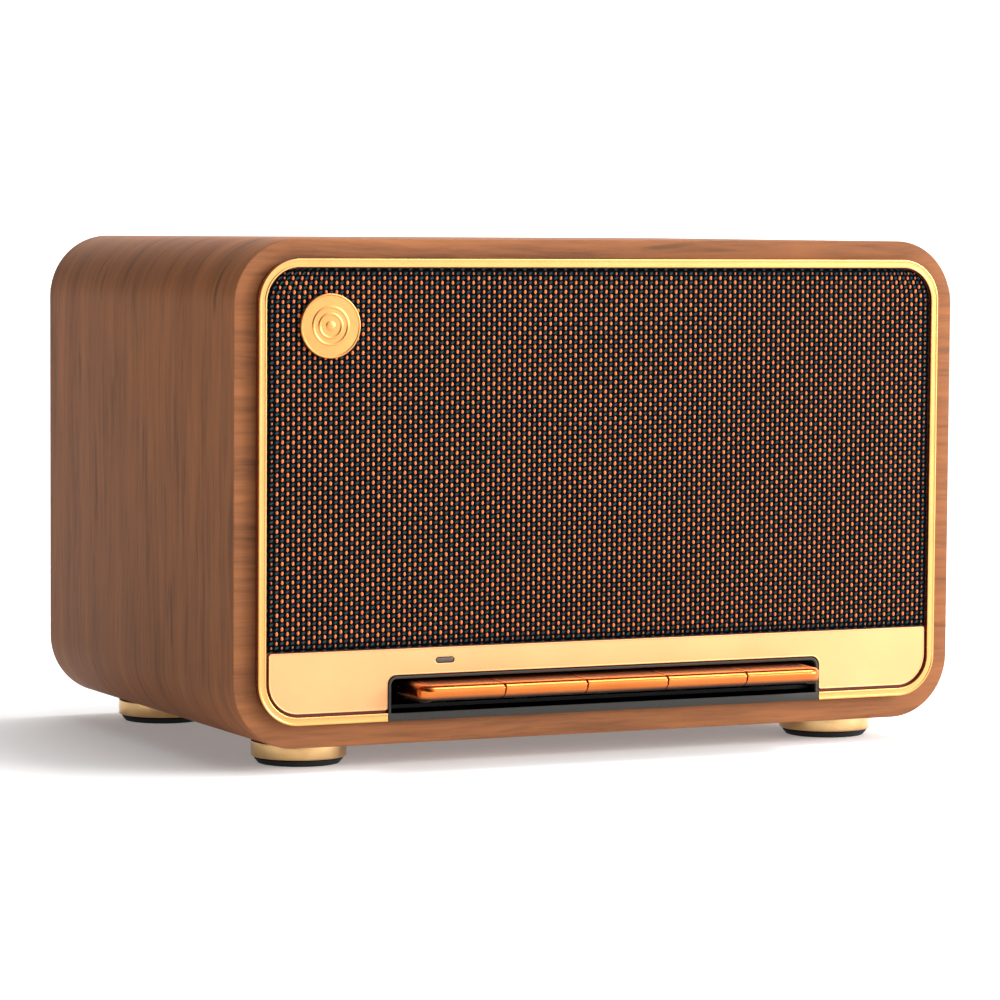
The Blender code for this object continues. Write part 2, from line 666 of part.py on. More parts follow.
def nose_curve(steps):
    """Y and Z of the key's nose: a short quarter ellipse down to its tip, then a long one down to its base."""
    tip_y = FRONT_Y - KEY_PROUD
    tip_z = BASE_Z + KEY_TOP_FRONT - KEY_TIP_DROP
    chin_drop = KEY_HEIGHT_FRONT - KEY_TIP_DROP
    points = []
    for step in range(steps + 1):
        angle = math.radians(90.0 * step / steps)
        y = tip_y + KEY_NOSE_DEPTH * (1.0 - math.sin(angle))
        points.append((y, tip_z + KEY_TIP_DROP * math.cos(angle)))
    for step in range(1, steps + 1):
        angle = math.radians(90.0 * step / steps)
        y = tip_y + KEY_CHIN_DEPTH * (1.0 - math.cos(angle))
        points.append((y, tip_z - chin_drop * math.sin(angle)))
    return points


def make_key_cap(label, x):
    back = FRONT_Y + KEY_CAP_BACK
    top_back = BASE_Z + KEY_TOP_BACK
    inner_z = BASE_Z + KEY_TOP_FRONT - KEY_CAP_THICKNESS
    nose_back = FRONT_Y - KEY_PROUD + KEY_NOSE_BACK
    base = BASE_Z + KEY_BASE
    outline = [(back, top_back)] + nose_curve(CORNER_STEPS)
    outline += [(nose_back, base), (nose_back, inner_z), (back, inner_z)]
    half = (KEY_PITCH - KEY_SIDE_GAP) / 2.0
    cap = round_piece(label + "_cap", side_prism(outline, x - half, x + half), COPPER)
    skirt_front = nose_back - KEY_SKIRT
    skirt_top = inner_z + KEY_CAP_THICKNESS / 2.0
    for left in (x - half, x + half - KEY_SKIRT):
        join(cap, block(left, left + KEY_SKIRT, skirt_front, back, base, skirt_top))
    set_origin(cap, (x, PIVOT_Y, PIVOT_Z))


def make_key_lever(label, x):
    front = FRONT_Y - KEY_PROUD + KEY_NOSE_BACK + GAP
    base = BASE_Z + KEY_BASE
    top = BASE_Z + KEY_TOP_FRONT - KEY_CAP_THICKNESS - GAP
    reach = PIVOT_RADIUS + GAP
    outline = [
        (front, base),
        (PIVOT_Y - reach, base),
        (PIVOT_Y - reach, top),
        (front, top),
    ]
    half = (KEY_PITCH - KEY_SIDE_GAP) / 2.0 - LEVER_SIDE_INSET
    lever = piece(label + "_lever", side_prism(outline, x - half, x + half), BLACK_PLASTIC)
    eye_profile = [(0.0, -half), (PIVOT_EYE_RADIUS, -half), (PIVOT_EYE_RADIUS, half), (0.0, half)]
    join(lever, turned(eye_profile, (x, PIVOT_Y, PIVOT_Z), (1.0, 0.0, 0.0), SMALL_ROUND_STEPS))
    bore = PIVOT_RADIUS + GAP
    reach_x = half + CUT_OVERRUN
    bore_profile = [(0.0, -reach_x), (bore, -reach_x), (bore, reach_x), (0.0, reach_x)]
    cut(lever, turned(bore_profile, (x, PIVOT_Y, PIVOT_Z), (1.0, 0.0, 0.0), SMALL_ROUND_STEPS))
    set_origin(lever, (x, PIVOT_Y, PIVOT_Z))


def make_keys():
    for index, label in enumerate(KEY_LABELS):
        make_key_cap(label, key_centre_x(index))
        make_key_lever(label, key_centre_x(index))


# ---- baffle and drivers ----
def make_front_baffle():
    inset = WALL + GAP
    radius = CABINET_CORNER_RADIUS - inset
    outline = rounded_outline(
        LEFT_X + inset,
        RIGHT_X - inset,
        BASE_Z + BAFFLE_BOTTOM,
        BASE_Z + BAFFLE_TOP,
        (0.0, radius, radius, 0.0),
    )
    baffle = piece("front_baffle", prism(outline, BAFFLE_FRONT_Y, BAFFLE_BACK_Y), BLACK_PLASTIC)
    tool_front = BAFFLE_FRONT_Y - CUT_OVERRUN
    tool_length = BAFFLE_THICKNESS + 2.0 * CUT_OVERRUN
    tweeter_hole = TWEETER_MAGNET_RADIUS + GAP
    holes = ((0.0, WOOFER_HOLE_RADIUS), (-TWEETER_OFFSET_X, tweeter_hole), (TWEETER_OFFSET_X, tweeter_hole))
    for x, radius in holes:
        profile = [(0.0, 0.0), (radius, 0.0), (radius, tool_length), (0.0, tool_length)]
        cut(baffle, turned(profile, (x, tool_front, DRIVER_Z), (0.0, 1.0, 0.0)))


def woofer_turned(profile, steps=ROUND_STEPS):
    """A piece turned about the woofer's axis; positions run back from the flange's front face."""
    return turned(profile, (0.0, FLANGE_FRONT_Y, DRIVER_Z), (0.0, 1.0, 0.0), steps)


def basket_inner_radius(depth):
    """Inside radius of the basket's tapered wall at a depth behind the flange's front face."""
    neck = WOOFER_HOLE_RADIUS - GAP - BASKET_WALL
    return neck + (BASKET_BACK_RADIUS - BASKET_WALL - neck) * depth / BASKET_DEPTH


def make_woofer_basket():
    neck = WOOFER_HOLE_RADIUS - GAP
    throat = COIL_RADIUS + COIL_WALL + COIL_CLEARANCE + BASKET_LIP
    profile = [
        (neck - BASKET_WALL, 0.0),
        (WOOFER_RADIUS, 0.0),
        (WOOFER_RADIUS, FLANGE_THICKNESS),
        (neck, FLANGE_THICKNESS),
        (neck, FLANGE_THICKNESS + BAFFLE_THICKNESS),
        (BASKET_BACK_RADIUS, BASKET_DEPTH),
        (throat, BASKET_DEPTH),
        (throat, BASKET_DEPTH - BASKET_WALL),
        (BASKET_BACK_RADIUS - BASKET_WALL, BASKET_DEPTH - BASKET_WALL),
    ]
    basket = round_piece("woofer_basket", woofer_turned(profile), STEEL)
    window_front = BAFFLE_BACK_Y + BASKET_WALL
    window_back = FLANGE_FRONT_Y + BASKET_DEPTH - 2.0 * BASKET_WALL
    half = BASKET_WINDOW_WIDTH / 2.0
    inner = BASKET_BACK_RADIUS - 4.0 * BASKET_WALL
    for turn in range(4):
        window = block(inner, WOOFER_RADIUS, window_front, window_back, -half, half)
        spin = Matrix.Rotation(math.radians(45.0 + 90.0 * turn), 4, "Y")
        place = Matrix.Translation((0.0, 0.0, DRIVER_Z)) @ spin
        bmesh.ops.transform(window, matrix=place, verts=window.verts)
        cut(basket, window)


def make_woofer_magnet():
    front = BASKET_DEPTH + GAP
    back = front + MAGNET_THICKNESS
    pole = COIL_RADIUS - COIL_CLEARANCE
    slot_outer = COIL_RADIUS + COIL_WALL + COIL_CLEARANCE
    profile = [
        (0.0, front),
        (pole, front),
        (pole, front + MAGNET_SLOT_DEPTH),
        (slot_outer, front + MAGNET_SLOT_DEPTH),
        (slot_outer, front),
        (MAGNET_RADIUS, front),
        (MAGNET_RADIUS, back),
        (0.0, back),
    ]
    round_piece("woofer_magnet", woofer_turned(profile), FERRITE)


def make_woofer_surround():
    """Half-roll of rubber between the cone's edge and the basket's flange."""
    inner = CONE_RADIUS + GAP
    centre = inner + SURROUND_ROLL
    outer = WOOFER_RADIUS - SURROUND_EDGE_INSET
    steps = 2 * SMALL_CORNER_STEPS
    front_side = []
    back_side = []
    for step in range(steps + 1):
        angle = math.pi * (1.0 - step / steps)
        front_side.append((centre + SURROUND_ROLL * math.cos(angle), -GAP - SURROUND_ROLL * math.sin(angle)))
        small = SURROUND_ROLL - SURROUND_WALL
        back_side.append((centre + small * math.cos(angle), -GAP - small * math.sin(angle)))
    front_side += [(outer, -GAP - SURROUND_WALL), (outer, -GAP)]
    profile = front_side + list(reversed(back_side))
    round_piece("woofer_surround", woofer_turned(profile), BLACK_RUBBER)


def cone_depth_at(radius):
    """How far the cone's front face lies behind the flange's front face at a radius."""
    return CONE_DEPTH * (CONE_RADIUS - radius) / (CONE_RADIUS - COIL_RADIUS)


def make_woofer_cone():
    inner = COIL_RADIUS + COIL_WALL + GAP
    profile = [
        (inner, cone_depth_at(inner)),
        (CONE_RADIUS - GAP, 0.0),
        (CONE_RADIUS - GAP, CONE_WALL),
        (inner, cone_depth_at(inner) + CONE_WALL),
    ]
    cone = round_piece("woofer_cone", woofer_turned(profile), PAPER)
    set_origin(cone, (0.0, FLANGE_FRONT_Y, DRIVER_Z))


def make_woofer_voice_coil():
    front = cone_depth_at(COIL_RADIUS)
    profile = [
        (COIL_RADIUS, front),
        (COIL_RADIUS + COIL_WALL, front),
        (COIL_RADIUS + COIL_WALL, front + COIL_LENGTH),
        (COIL_RADIUS, front + COIL_LENGTH),
    ]
    coil = round_piece("woofer_voice_coil", woofer_turned(profile), COPPER)
    set_origin(coil, (0.0, FLANGE_FRONT_Y, DRIVER_Z))


def domed_cap(radius, rise, wall, edge, steps):
    """Closed profile of a domed shell whose rim lies at edge and whose crown stands rise in front of it."""
    outside = []
    inside = []
    for step in range(steps + 1):
        share = step / steps
        bulge = rise * (1.0 - share * share)
        outside.append((radius * share, edge - bulge))
        inside.append((radius * share, edge + wall - bulge))
    return outside + list(reversed(inside))


def make_woofer_dust_cap():
    edge = cone_depth_at(COIL_RADIUS + COIL_WALL) - DUST_CAP_WALL - 2.0 * GAP
    profile = domed_cap(COIL_RADIUS + COIL_WALL, DUST_CAP_RISE, DUST_CAP_WALL, edge, DOME_STEPS)
    cap = round_piece("woofer_dust_cap", woofer_turned(profile), PAPER)
    set_origin(cap, (0.0, FLANGE_FRONT_Y, DRIVER_Z))


def make_tweeter(side, x):
    centre = (x, FLANGE_FRONT_Y, DRIVER_Z)
    axis = (0.0, 1.0, 0.0)
    mouth = TWEETER_DOME_RADIUS + DOME_CLEARANCE
    plate = [
        (mouth, FLANGE_THICKNESS * 0.5),
        (mouth + TWEETER_FLARE, 0.0),
        (TWEETER_RADIUS, 0.0),
        (TWEETER_RADIUS, FLANGE_THICKNESS),
        (mouth, FLANGE_THICKNESS),
    ]
    round_piece("tweeter_faceplate_" + side, turned(plate, centre, axis), BLACK_PLASTIC)
    magnet_front = FLANGE_THICKNESS + GAP
    magnet_back = magnet_front + TWEETER_MAGNET_THICKNESS
    magnet = [
        (0.0, magnet_front),
        (TWEETER_MAGNET_RADIUS, magnet_front),
        (TWEETER_MAGNET_RADIUS, magnet_back),
        (0.0, magnet_back),
    ]
    round_piece("tweeter_magnet_" + side, turned(magnet, centre, axis), FERRITE)
    edge = FLANGE_THICKNESS * 0.5
    dome_profile = domed_cap(TWEETER_DOME_RADIUS, TWEETER_DOME_RISE, TWEETER_DOME_WALL, edge, DOME_STEPS)
    dome = round_piece("tweeter_dome_" + side, turned(dome_profile, centre, axis), SILK)
    set_origin(dome, centre)


# ---- rear ----
def socket_z():
    return BASE_Z + SOCKET_ABOVE_BASE


def make_rear_panel():
    inset = WALL - REAR_REBATE_WIDTH + GAP
    panel = piece("rear_panel", prism(cabinet_outline(inset), PANEL_FRONT_Y, PANEL_BACK_Y), BLACK_PLASTIC)
    tool_front = PANEL_FRONT_Y - CUT_OVERRUN
    tool_back = PANEL_BACK_Y + CUT_OVERRUN
    for x, z in rear_screw_places():
        cut(panel, drill(SCREW_SHANK_RADIUS + GAP, x, z, tool_front, tool_back))
    port_hole = PORT_INNER_RADIUS + PORT_WALL + GAP
    length = tool_back - tool_front
    profile = [(0.0, 0.0), (port_hole, 0.0), (port_hole, length), (0.0, length)]
    cut(panel, turned(profile, (PORT_OFFSET_X, tool_front, BASE_Z + PORT_ABOVE_BASE), (0.0, 1.0, 0.0)))
    half_width = USB_WIDTH / 2.0 + GAP
    half_height = USB_HEIGHT / 2.0 + GAP
    usb_hole = rounded_outline(
        USB_OFFSET_X - half_width,
        USB_OFFSET_X + half_width,
        socket_z() - half_height,
        socket_z() + half_height,
        (half_height * ROUND_END,) * 4,
        SMALL_CORNER_STEPS,
    )
    cut(panel, prism(usb_hole, tool_front, tool_back))
    cut(panel, drill(AUX_BUSH_RADIUS + GAP, AUX_OFFSET_X, socket_z(), tool_front, tool_back))


def make_rear_screws():
    names = ("lower_left", "upper_left", "lower_right", "upper_right")
    for name, (x, z) in zip(names, rear_screw_places()):
        head_back = SCREW_HEAD_HEIGHT + GAP
        tip = -(SCREW_SHANK_LENGTH - GAP)
        profile = [
            (0.0, head_back),
            (SCREW_HEAD_RADIUS * 0.8, head_back),
            (SCREW_HEAD_RADIUS, head_back - SCREW_HEAD_HEIGHT / 2.0),
            (SCREW_HEAD_RADIUS, GAP),
            (SCREW_SHANK_RADIUS, GAP),
            (SCREW_SHANK_RADIUS, tip + SCREW_SHANK_RADIUS),
            (0.0, tip),
        ]
        screw = turned(profile, (x, PANEL_BACK_Y, z), (0.0, 1.0, 0.0), SMALL_ROUND_STEPS)
        round_piece("rear_screw_" + name, screw, STEEL)


def make_bass_port():
    outer = PORT_INNER_RADIUS + PORT_WALL
    mouth_back = PORT_FLANGE_THICKNESS + GAP
    flange = outer + PORT_FLARE
    flare = []
    for step in range(2 * SMALL_CORNER_STEPS + 1):
        angle = math.radians(90.0 * step / (2 * SMALL_CORNER_STEPS))
        radius = PORT_INNER_RADIUS + PORT_FLARE * (1.0 - math.sin(angle))
        flare.append((radius, mouth_back - PORT_FLARE * (1.0 - math.cos(angle))))
    profile = [(flange, mouth_back)] + flare
    profile += [
        (PORT_INNER_RADIUS, -PORT_LENGTH),
        (outer, -PORT_LENGTH),
        (outer, GAP),
        (flange, GAP),
    ]
    port = turned(profile, (PORT_OFFSET_X, PANEL_BACK_Y, BASE_Z + PORT_ABOVE_BASE), (0.0, 1.0, 0.0))
    round_piece("bass_port", port, BLACK_PLASTIC)


def make_amplifier():
    board_back = PANEL_FRONT_Y - AMPLIFIER_STANDOFF
    board_front = board_back - BOARD_THICKNESS
    z = BASE_Z + AMPLIFIER_ABOVE_BASE
    half_width = AMPLIFIER_WIDTH / 2.0
    half_height = AMPLIFIER_HEIGHT / 2.0
    left = AMPLIFIER_OFFSET_X - half_width
    right = AMPLIFIER_OFFSET_X + half_width
    board = block(left, right, board_front, board_back, z - half_height, z + half_height)
    amplifier = piece("amplifier_board", board, CIRCUIT_GREEN)
    post_front = board_front + BOARD_THICKNESS / 2.0
    for x in (left + POST_INSET, right - POST_INSET):
        for post_z in (z - half_height + POST_INSET, z + half_height - POST_INSET):
            join(amplifier, drill(POST_RADIUS, x, post_z, post_front, PANEL_FRONT_Y - GAP))
    sink_back = board_front - GAP
    sink_left = AMPLIFIER_OFFSET_X - HEATSINK_WIDTH / 2.0
    sink_bottom = z - HEATSINK_HEIGHT / 2.0
    sink_top = z + HEATSINK_HEIGHT / 2.0
    sink_right = sink_left + HEATSINK_WIDTH
    base = block(sink_left, sink_right, sink_back - HEATSINK_BASE, sink_back, sink_bottom, sink_top)
    heatsink = piece("heatsink", base, ALUMINIUM)
    fin_pitch = (HEATSINK_WIDTH - FIN_THICKNESS) / (HEATSINK_FINS - 1)
    for fin in range(HEATSINK_FINS):
        x = sink_left + fin * fin_pitch
        join(
            heatsink,
            block(
                x,
                x + FIN_THICKNESS,
                sink_back - HEATSINK_DEPTH,
                sink_back - HEATSINK_BASE / 2.0,
                sink_bottom,
                sink_top,
            ),
        )


def make_input_sockets():
    board_top = socket_z() - AUX_BODY / 2.0 - GAP
    board_back = PANEL_FRONT_Y - GAP
    board = block(
        -INPUT_BOARD_WIDTH / 2.0,
        INPUT_BOARD_WIDTH / 2.0,
        board_back - INPUT_BOARD_DEPTH,
        board_back,
        board_top - BOARD_THICKNESS,
        board_top,
    )
    piece("input_board", board, CIRCUIT_GREEN)
    half_width = USB_WIDTH / 2.0
    half_height = USB_HEIGHT / 2.0
    usb_back = PANEL_BACK_Y - GAP
    left = USB_OFFSET_X - half_width
    right = USB_OFFSET_X + half_width
    low = socket_z() - half_height
    high = socket_z() + half_height
    shell = rounded_outline(left, right, low, high, (half_height * ROUND_END,) * 4, SMALL_CORNER_STEPS)
    usb = piece("usb_socket", prism(shell, usb_back - USB_LENGTH, usb_back), STEEL)
    inner = rounded_outline(
        left + SOCKET_WALL,
        right - SOCKET_WALL,
        low + SOCKET_WALL,
        high - SOCKET_WALL,
        ((half_height - SOCKET_WALL) * ROUND_END,) * 4,
        SMALL_CORNER_STEPS,
    )
    cut(usb, prism(inner, usb_back - USB_LENGTH + 2.0 * SOCKET_WALL, usb_back + CUT_OVERRUN))
    aux_half = AUX_BODY / 2.0
    aux_front = board_back - AUX_LENGTH
    aux = piece(
        "aux_socket",
        block(
            AUX_OFFSET_X - aux_half,
            AUX_OFFSET_X + aux_half,
            aux_front,
            board_back,
            socket_z() - aux_half,
            socket_z() + aux_half,
        ),
        BLACK_PLASTIC,
    )
    bush_back = PANEL_BACK_Y + AUX_BUSH_PROUD
    join(aux, drill(AUX_BUSH_RADIUS, AUX_OFFSET_X, socket_z(), board_back - CUT_OVERRUN, bush_back))
    hole_front = aux_front + 2.0 * SOCKET_WALL
    cut(aux, drill(AUX_HOLE_RADIUS, AUX_OFFSET_X, socket_z(), hole_front, bush_back + CUT_OVERRUN))


def make_battery():
    low = BASE_Z + WALL + GAP
    front = FRONT_Y + BATTERY_SETBACK
    half = BATTERY_WIDTH / 2.0
    outer = (-half - GAP - CRADLE_WALL, half + GAP + CRADLE_WALL)
    back = front + BATTERY_DEPTH
    cradle = piece(
        "battery_cradle",
        block(
            outer[0],
            outer[1],
            front - GAP - CRADLE_WALL,
            back + GAP + CRADLE_WALL,
            low,
            low + CRADLE_RIM,
        ),
        BLACK_PLASTIC,
    )
    well_top = low + CRADLE_RIM + CUT_OVERRUN
    cut(cradle, block(-half - GAP, half + GAP, front - GAP, back + GAP, low + CRADLE_WALL, well_top))
    pack_low = low + CRADLE_WALL + GAP
    pack = block(-half, half, front, back, pack_low, pack_low + BATTERY_HEIGHT)
    piece("battery_pack", pack, BATTERY_BLUE)


# ---- feet ----
def make_feet():
    ring_low = FOOT_HEIGHT - GAP - FOOT_RING_HEIGHT
    ring_top = FOOT_HEIGHT - GAP
    bolt_hole = BOLT_SHANK_RADIUS + GAP
    ring = [
        (bolt_hole, ring_low + FOOT_RECESS_DEPTH),
        (FOOT_RECESS_RADIUS, ring_low + FOOT_RECESS_DEPTH),
        (FOOT_RECESS_RADIUS, ring_low),
        (FOOT_RADIUS - FOOT_CHAMFER, ring_low),
        (FOOT_RADIUS, ring_low + FOOT_CHAMFER),
        (FOOT_RADIUS, ring_top - FOOT_CHAMFER),
        (FOOT_RADIUS - FOOT_CHAMFER, ring_top),
        (bolt_hole, ring_top),
    ]
    pad_top = ring_low - GAP
    boss_radius = FOOT_RECESS_RADIUS - GAP
    pad = [
        (0.0, 0.0),
        (PAD_BOTTOM_RADIUS, 0.0),
        (PAD_TOP_RADIUS, pad_top),
        (boss_radius, pad_top),
        (boss_radius, pad_top + GAP + PAD_BOSS_HEIGHT),
        (0.0, pad_top + GAP + PAD_BOSS_HEIGHT),
    ]
    head_top = ring_low + FOOT_RECESS_DEPTH - GAP
    bolt = [
        (0.0, head_top - BOLT_HEAD_HEIGHT),
        (BOLT_HEAD_RADIUS, head_top - BOLT_HEAD_HEIGHT),
        (BOLT_HEAD_RADIUS, head_top),
        (BOLT_SHANK_RADIUS, head_top),
        (BOLT_SHANK_RADIUS, head_top + BOLT_SHANK_LENGTH),
        (0.0, head_top + BOLT_SHANK_LENGTH),
    ]
    up = (0.0, 0.0, 1.0)
    for name, x, y in foot_places():
        centre = (x, y, 0.0)
        round_piece("foot_ring_" + name, turned(ring, centre, up), BRASS)
        round_piece("foot_pad_" + name, turned(pad, centre, up), BLACK_RUBBER)
        round_piece("foot_bolt_" + name, turned(bolt, centre, up, SMALL_ROUND_STEPS), STEEL)


def build():
    for leftover in list(bpy.data.objects):
        bpy.data.objects.remove(leftover, do_unlink=True)
    make_cabinet_shell()
    make_grille_frame()
    make_trim_ring()
    make_grille_cloth()
    make_grille_badge()
    make_fascia_plate()
    make_indicator_lens()
    make_key_tray()
    make_key_pivot_rod()
    make_key_board()
    make_key_return_pad()
    make_keys()
    make_front_baffle()
    make_woofer_basket()
    make_woofer_magnet()
    make_woofer_surround()
    make_woofer_cone()
    make_woofer_voice_coil()
    make_woofer_dust_cap()
    make_tweeter("left", -TWEETER_OFFSET_X)
    make_tweeter("right", TWEETER_OFFSET_X)
    make_rear_panel()
    make_rear_screws()
    make_bass_port()
    make_amplifier()
    make_input_sockets()
    make_battery()
    make_feet()


build()
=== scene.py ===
"""The looks of a retro tabletop loudspeaker: veneered cabinet, woven grille, gilt trim, five copper keys.

Lengths are in metres. The front faces -Y, +X is to the right seen from the front, and +Z is up.
"""
import math

import bmesh
import bpy
import numpy as np
from mathutils import Matrix, Vector


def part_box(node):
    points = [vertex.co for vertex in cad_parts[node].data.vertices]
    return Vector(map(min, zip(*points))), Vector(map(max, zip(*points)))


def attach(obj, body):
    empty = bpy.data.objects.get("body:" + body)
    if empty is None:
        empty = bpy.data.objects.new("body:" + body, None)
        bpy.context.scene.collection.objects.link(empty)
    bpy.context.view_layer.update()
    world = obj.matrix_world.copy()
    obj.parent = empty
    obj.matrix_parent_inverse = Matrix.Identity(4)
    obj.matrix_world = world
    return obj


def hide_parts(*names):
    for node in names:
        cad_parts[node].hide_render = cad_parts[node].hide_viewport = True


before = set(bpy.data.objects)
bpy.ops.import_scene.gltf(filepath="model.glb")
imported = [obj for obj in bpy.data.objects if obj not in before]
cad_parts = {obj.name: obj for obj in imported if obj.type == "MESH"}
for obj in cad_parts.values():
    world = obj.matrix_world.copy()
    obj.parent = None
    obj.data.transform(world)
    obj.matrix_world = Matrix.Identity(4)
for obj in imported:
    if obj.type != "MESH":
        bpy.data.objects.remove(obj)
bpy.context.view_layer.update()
MM = 0.001


# ---- studio ----
# A pale, faintly glowing floor under a soft white sky that is darker on the left. A large softbox stands in
# front on the right, another hangs overhead, and a dim one fills the left. The camera stands to the left of
# the front, level with the top of the cabinet, and looks slightly down.
CAMERA_PLACE = (-0.6255, -1.3096, 0.1801)
CAMERA_TURN = 25.49
CAMERA_TILT = 3.877
CAMERA_ROLL = 0.37
LENS = 147.45
FLOOR_HALF_WIDTH = 9.0
SKY_RIGHT_STRENGTH = 2.0
SKY_LEFT_STRENGTH = 0.04
SKY_SHADE_REACH = 0.45
FLOOR_GLOW = 0.22


class Value:
    """A number, colour or vector that varies over a finish. Arithmetic on it adds Math nodes."""

    def __init__(self, nodes, socket):
        self.nodes = nodes
        self.socket = socket

    def maths(self, operation, *numbers):
        return self.nodes.node("Math", {"operation": operation}, dict(enumerate(numbers)))

    def through(self, operation):
        return self.maths(operation, self)

    def __add__(self, other):
        return self.maths("ADD", self, other)

    def __sub__(self, other):
        return self.maths("SUBTRACT", self, other)

    def __rsub__(self, other):
        return self.maths("SUBTRACT", other, self)

    def __mul__(self, other):
        return self.maths("MULTIPLY", self, other)

    __radd__ = __add__
    __rmul__ = __mul__


class Nodes:
    """A node tree. Every node in it comes from node(); the other methods only name its common uses."""

    def __init__(self, tree):
        self.tree = tree

    def feed(self, socket, value):
        if isinstance(value, Value):
            self.tree.links.new(value.socket, socket)
        else:
            socket.default_value = value

    def node(self, kind, settings, sockets, output=0):
        """Makes a node of a kind: its settings first, then the values or links of its sockets."""
        made = self.tree.nodes.new("ShaderNode" + kind)
        stops = settings.pop("stops", ())
        for name, setting in settings.items():
            setattr(made, name, setting)
        while len(stops) > len(made.color_ramp.elements if stops else ()):
            made.color_ramp.elements.new(1.0)
        for index, (place, colour) in enumerate(stops):
            made.color_ramp.elements[index].position = place
            made.color_ramp.elements[index].color = colour
        for key, value in sockets.items():
            self.feed(made.inputs[key], value)
        return Value(self, made.outputs[output])

    def place(self):
        return self.node("TexCoord", {}, {}, "Object")

    def parts(self, vector):
        """The X, Y and Z of a vector, each as a Value."""
        first = self.node("SeparateXYZ", {}, {0: vector})
        return [Value(self, output) for output in first.socket.node.outputs]

    def joined(self, x, y, z):
        return self.node("CombineXYZ", {}, {0: x, 1: y, 2: z})

    def stretched(self, vector, *factors):
        return self.node("VectorMath", {"operation": "MULTIPLY"}, {0: vector, 1: factors})

    def noise(self, vector, scale, detail=2.0, roughness=0.5):
        return self.node(
            "TexNoise", {}, {"Vector": vector, "Scale": scale, "Detail": detail, "Roughness": roughness}
        )

    def ramp(self, value, *stops):
        return self.node("ValToRGB", {"stops": stops}, {0: value})

    def remap(self, value, low, high, new_low=0.0, new_high=1.0):
        """The value moved from one range to another, held at the new range's ends, eased between them."""
        sockets = {"Value": value, 1: low, 2: high, 3: new_low, 4: new_high}
        return self.node("MapRange", {"interpolation_type": "SMOOTHSTEP"}, sockets)

    def mix(self, factor, first, second):
        """The first colour at a factor of 0, the second at 1."""
        return self.node("Mix", {"data_type": "RGBA"}, {0: factor, 6: first, 7: second}, 2)

    def bump(self, height, depth, strength=1.0):
        """Relief from a height of 0 to 1 that stands for a depth in metres."""
        return self.node("Bump", {}, {"Height": height, "Distance": depth, "Strength": strength})


class Finish(Nodes):
    """A material, with the shader's own values set when it is made."""

    def __init__(self, name, shader):
        self.material = bpy.data.materials.new(name)
        self.material.use_nodes = True
        super().__init__(self.material.node_tree)
        self.shade(shader)

    def shade(self, sockets):
        for key, value in sockets.items():
            self.feed(self.tree.nodes["Principled BSDF"].inputs[key], value)


def paint(red, green, blue):
    """A display colour of 0 to 255 as the linear colour that a shader takes."""
    shares = np.array([red, green, blue]) / 255.0
    linear = np.where(shares <= 0.04045, shares / 12.92, ((shares + 0.055) / 1.055) ** 2.4)
    return (*linear.tolist(), 1.0)


sky = bpy.data.worlds.new("studio sky")
sky.use_nodes = True
bpy.context.scene.world = sky
sky_nodes = Nodes(sky.node_tree)
sideways = sky_nodes.parts(sky_nodes.node("TexCoord", {}, {}, "Generated"))[0]
sky_light = sky_nodes.remap(
    sideways, -SKY_SHADE_REACH, SKY_SHADE_REACH, SKY_LEFT_STRENGTH, SKY_RIGHT_STRENGTH
)
sky_nodes.feed(sky.node_tree.nodes["Background"].inputs["Strength"], sky_light)
sky_nodes.feed(sky.node_tree.nodes["Background"].inputs["Color"], paint(255, 255, 255))

floor_mesh = bpy.data.meshes.new("studio_floor")
floor_turns = np.array([(-1, -1, 0), (1, -1, 0), (1, 1, 0), (-1, 1, 0)])
floor_mesh.from_pydata((floor_turns * FLOOR_HALF_WIDTH).tolist(), [], [(0, 1, 2, 3)])
floor_light = {"Roughness": 0.9, "Emission Color": paint(255, 255, 255), "Emission Strength": FLOOR_GLOW}
floor_paper = Finish("floor paper", floor_light)
paper_tone = floor_paper.noise(floor_paper.place(), 30.0, 3.0)
paper_white = floor_paper.ramp(paper_tone, (0.0, paint(235, 235, 235)), (1.0, paint(240, 240, 239)))
floor_paper.shade({"Base Color": paper_white})
floor_mesh.materials.append(floor_paper.material)
studio_floor = bpy.data.objects.new("studio_floor", floor_mesh)
bpy.context.collection.objects.link(studio_floor)


def hang_softbox(name, place, target, width, height, power):
    """A rectangular area light at a place, turned to face a target."""
    lamp = bpy.data.lights.new(name, "AREA")
    lamp.shape = "RECTANGLE"
    lamp.size = width
    lamp.size_y = height
    lamp.energy = power
    softbox = bpy.data.objects.new(name, lamp)
    softbox.location = place
    softbox.rotation_euler = (Vector(target) - Vector(place)).to_track_quat("-Z", "Y").to_euler()
    bpy.context.collection.objects.link(softbox)


hang_softbox("front_softbox", (2.05, -1.65, 0.85), (0.0, -0.08, 0.08), width=1.5, height=1.2, power=74.0)
hang_softbox("overhead_softbox", (0.85, -0.1, 1.9), (0.0, 0.0, 0.1), width=1.2, height=1.0, power=26.0)
hang_softbox("left_card", (-1.6, -0.4, 0.3), (0.0, -0.05, 0.03), width=0.8, height=0.6, power=1.5)

lens = bpy.data.cameras.new("camera")
lens.lens = LENS
lens.sensor_width = 36.0
lens.clip_start = 0.05
camera = bpy.data.objects.new("camera", lens)
turn = Matrix.Rotation(math.radians(-CAMERA_TURN), 4, "Z")
tilt = Matrix.Rotation(math.radians(90.0 - CAMERA_TILT), 4, "X")
roll = Matrix.Rotation(math.radians(CAMERA_ROLL), 4, "Z")
camera.matrix_world = Matrix.Translation(CAMERA_PLACE) @ turn @ tilt @ roll
bpy.context.collection.objects.link(camera)
bpy.context.scene.camera = camera
bpy.context.scene.view_settings.view_transform = "Standard"


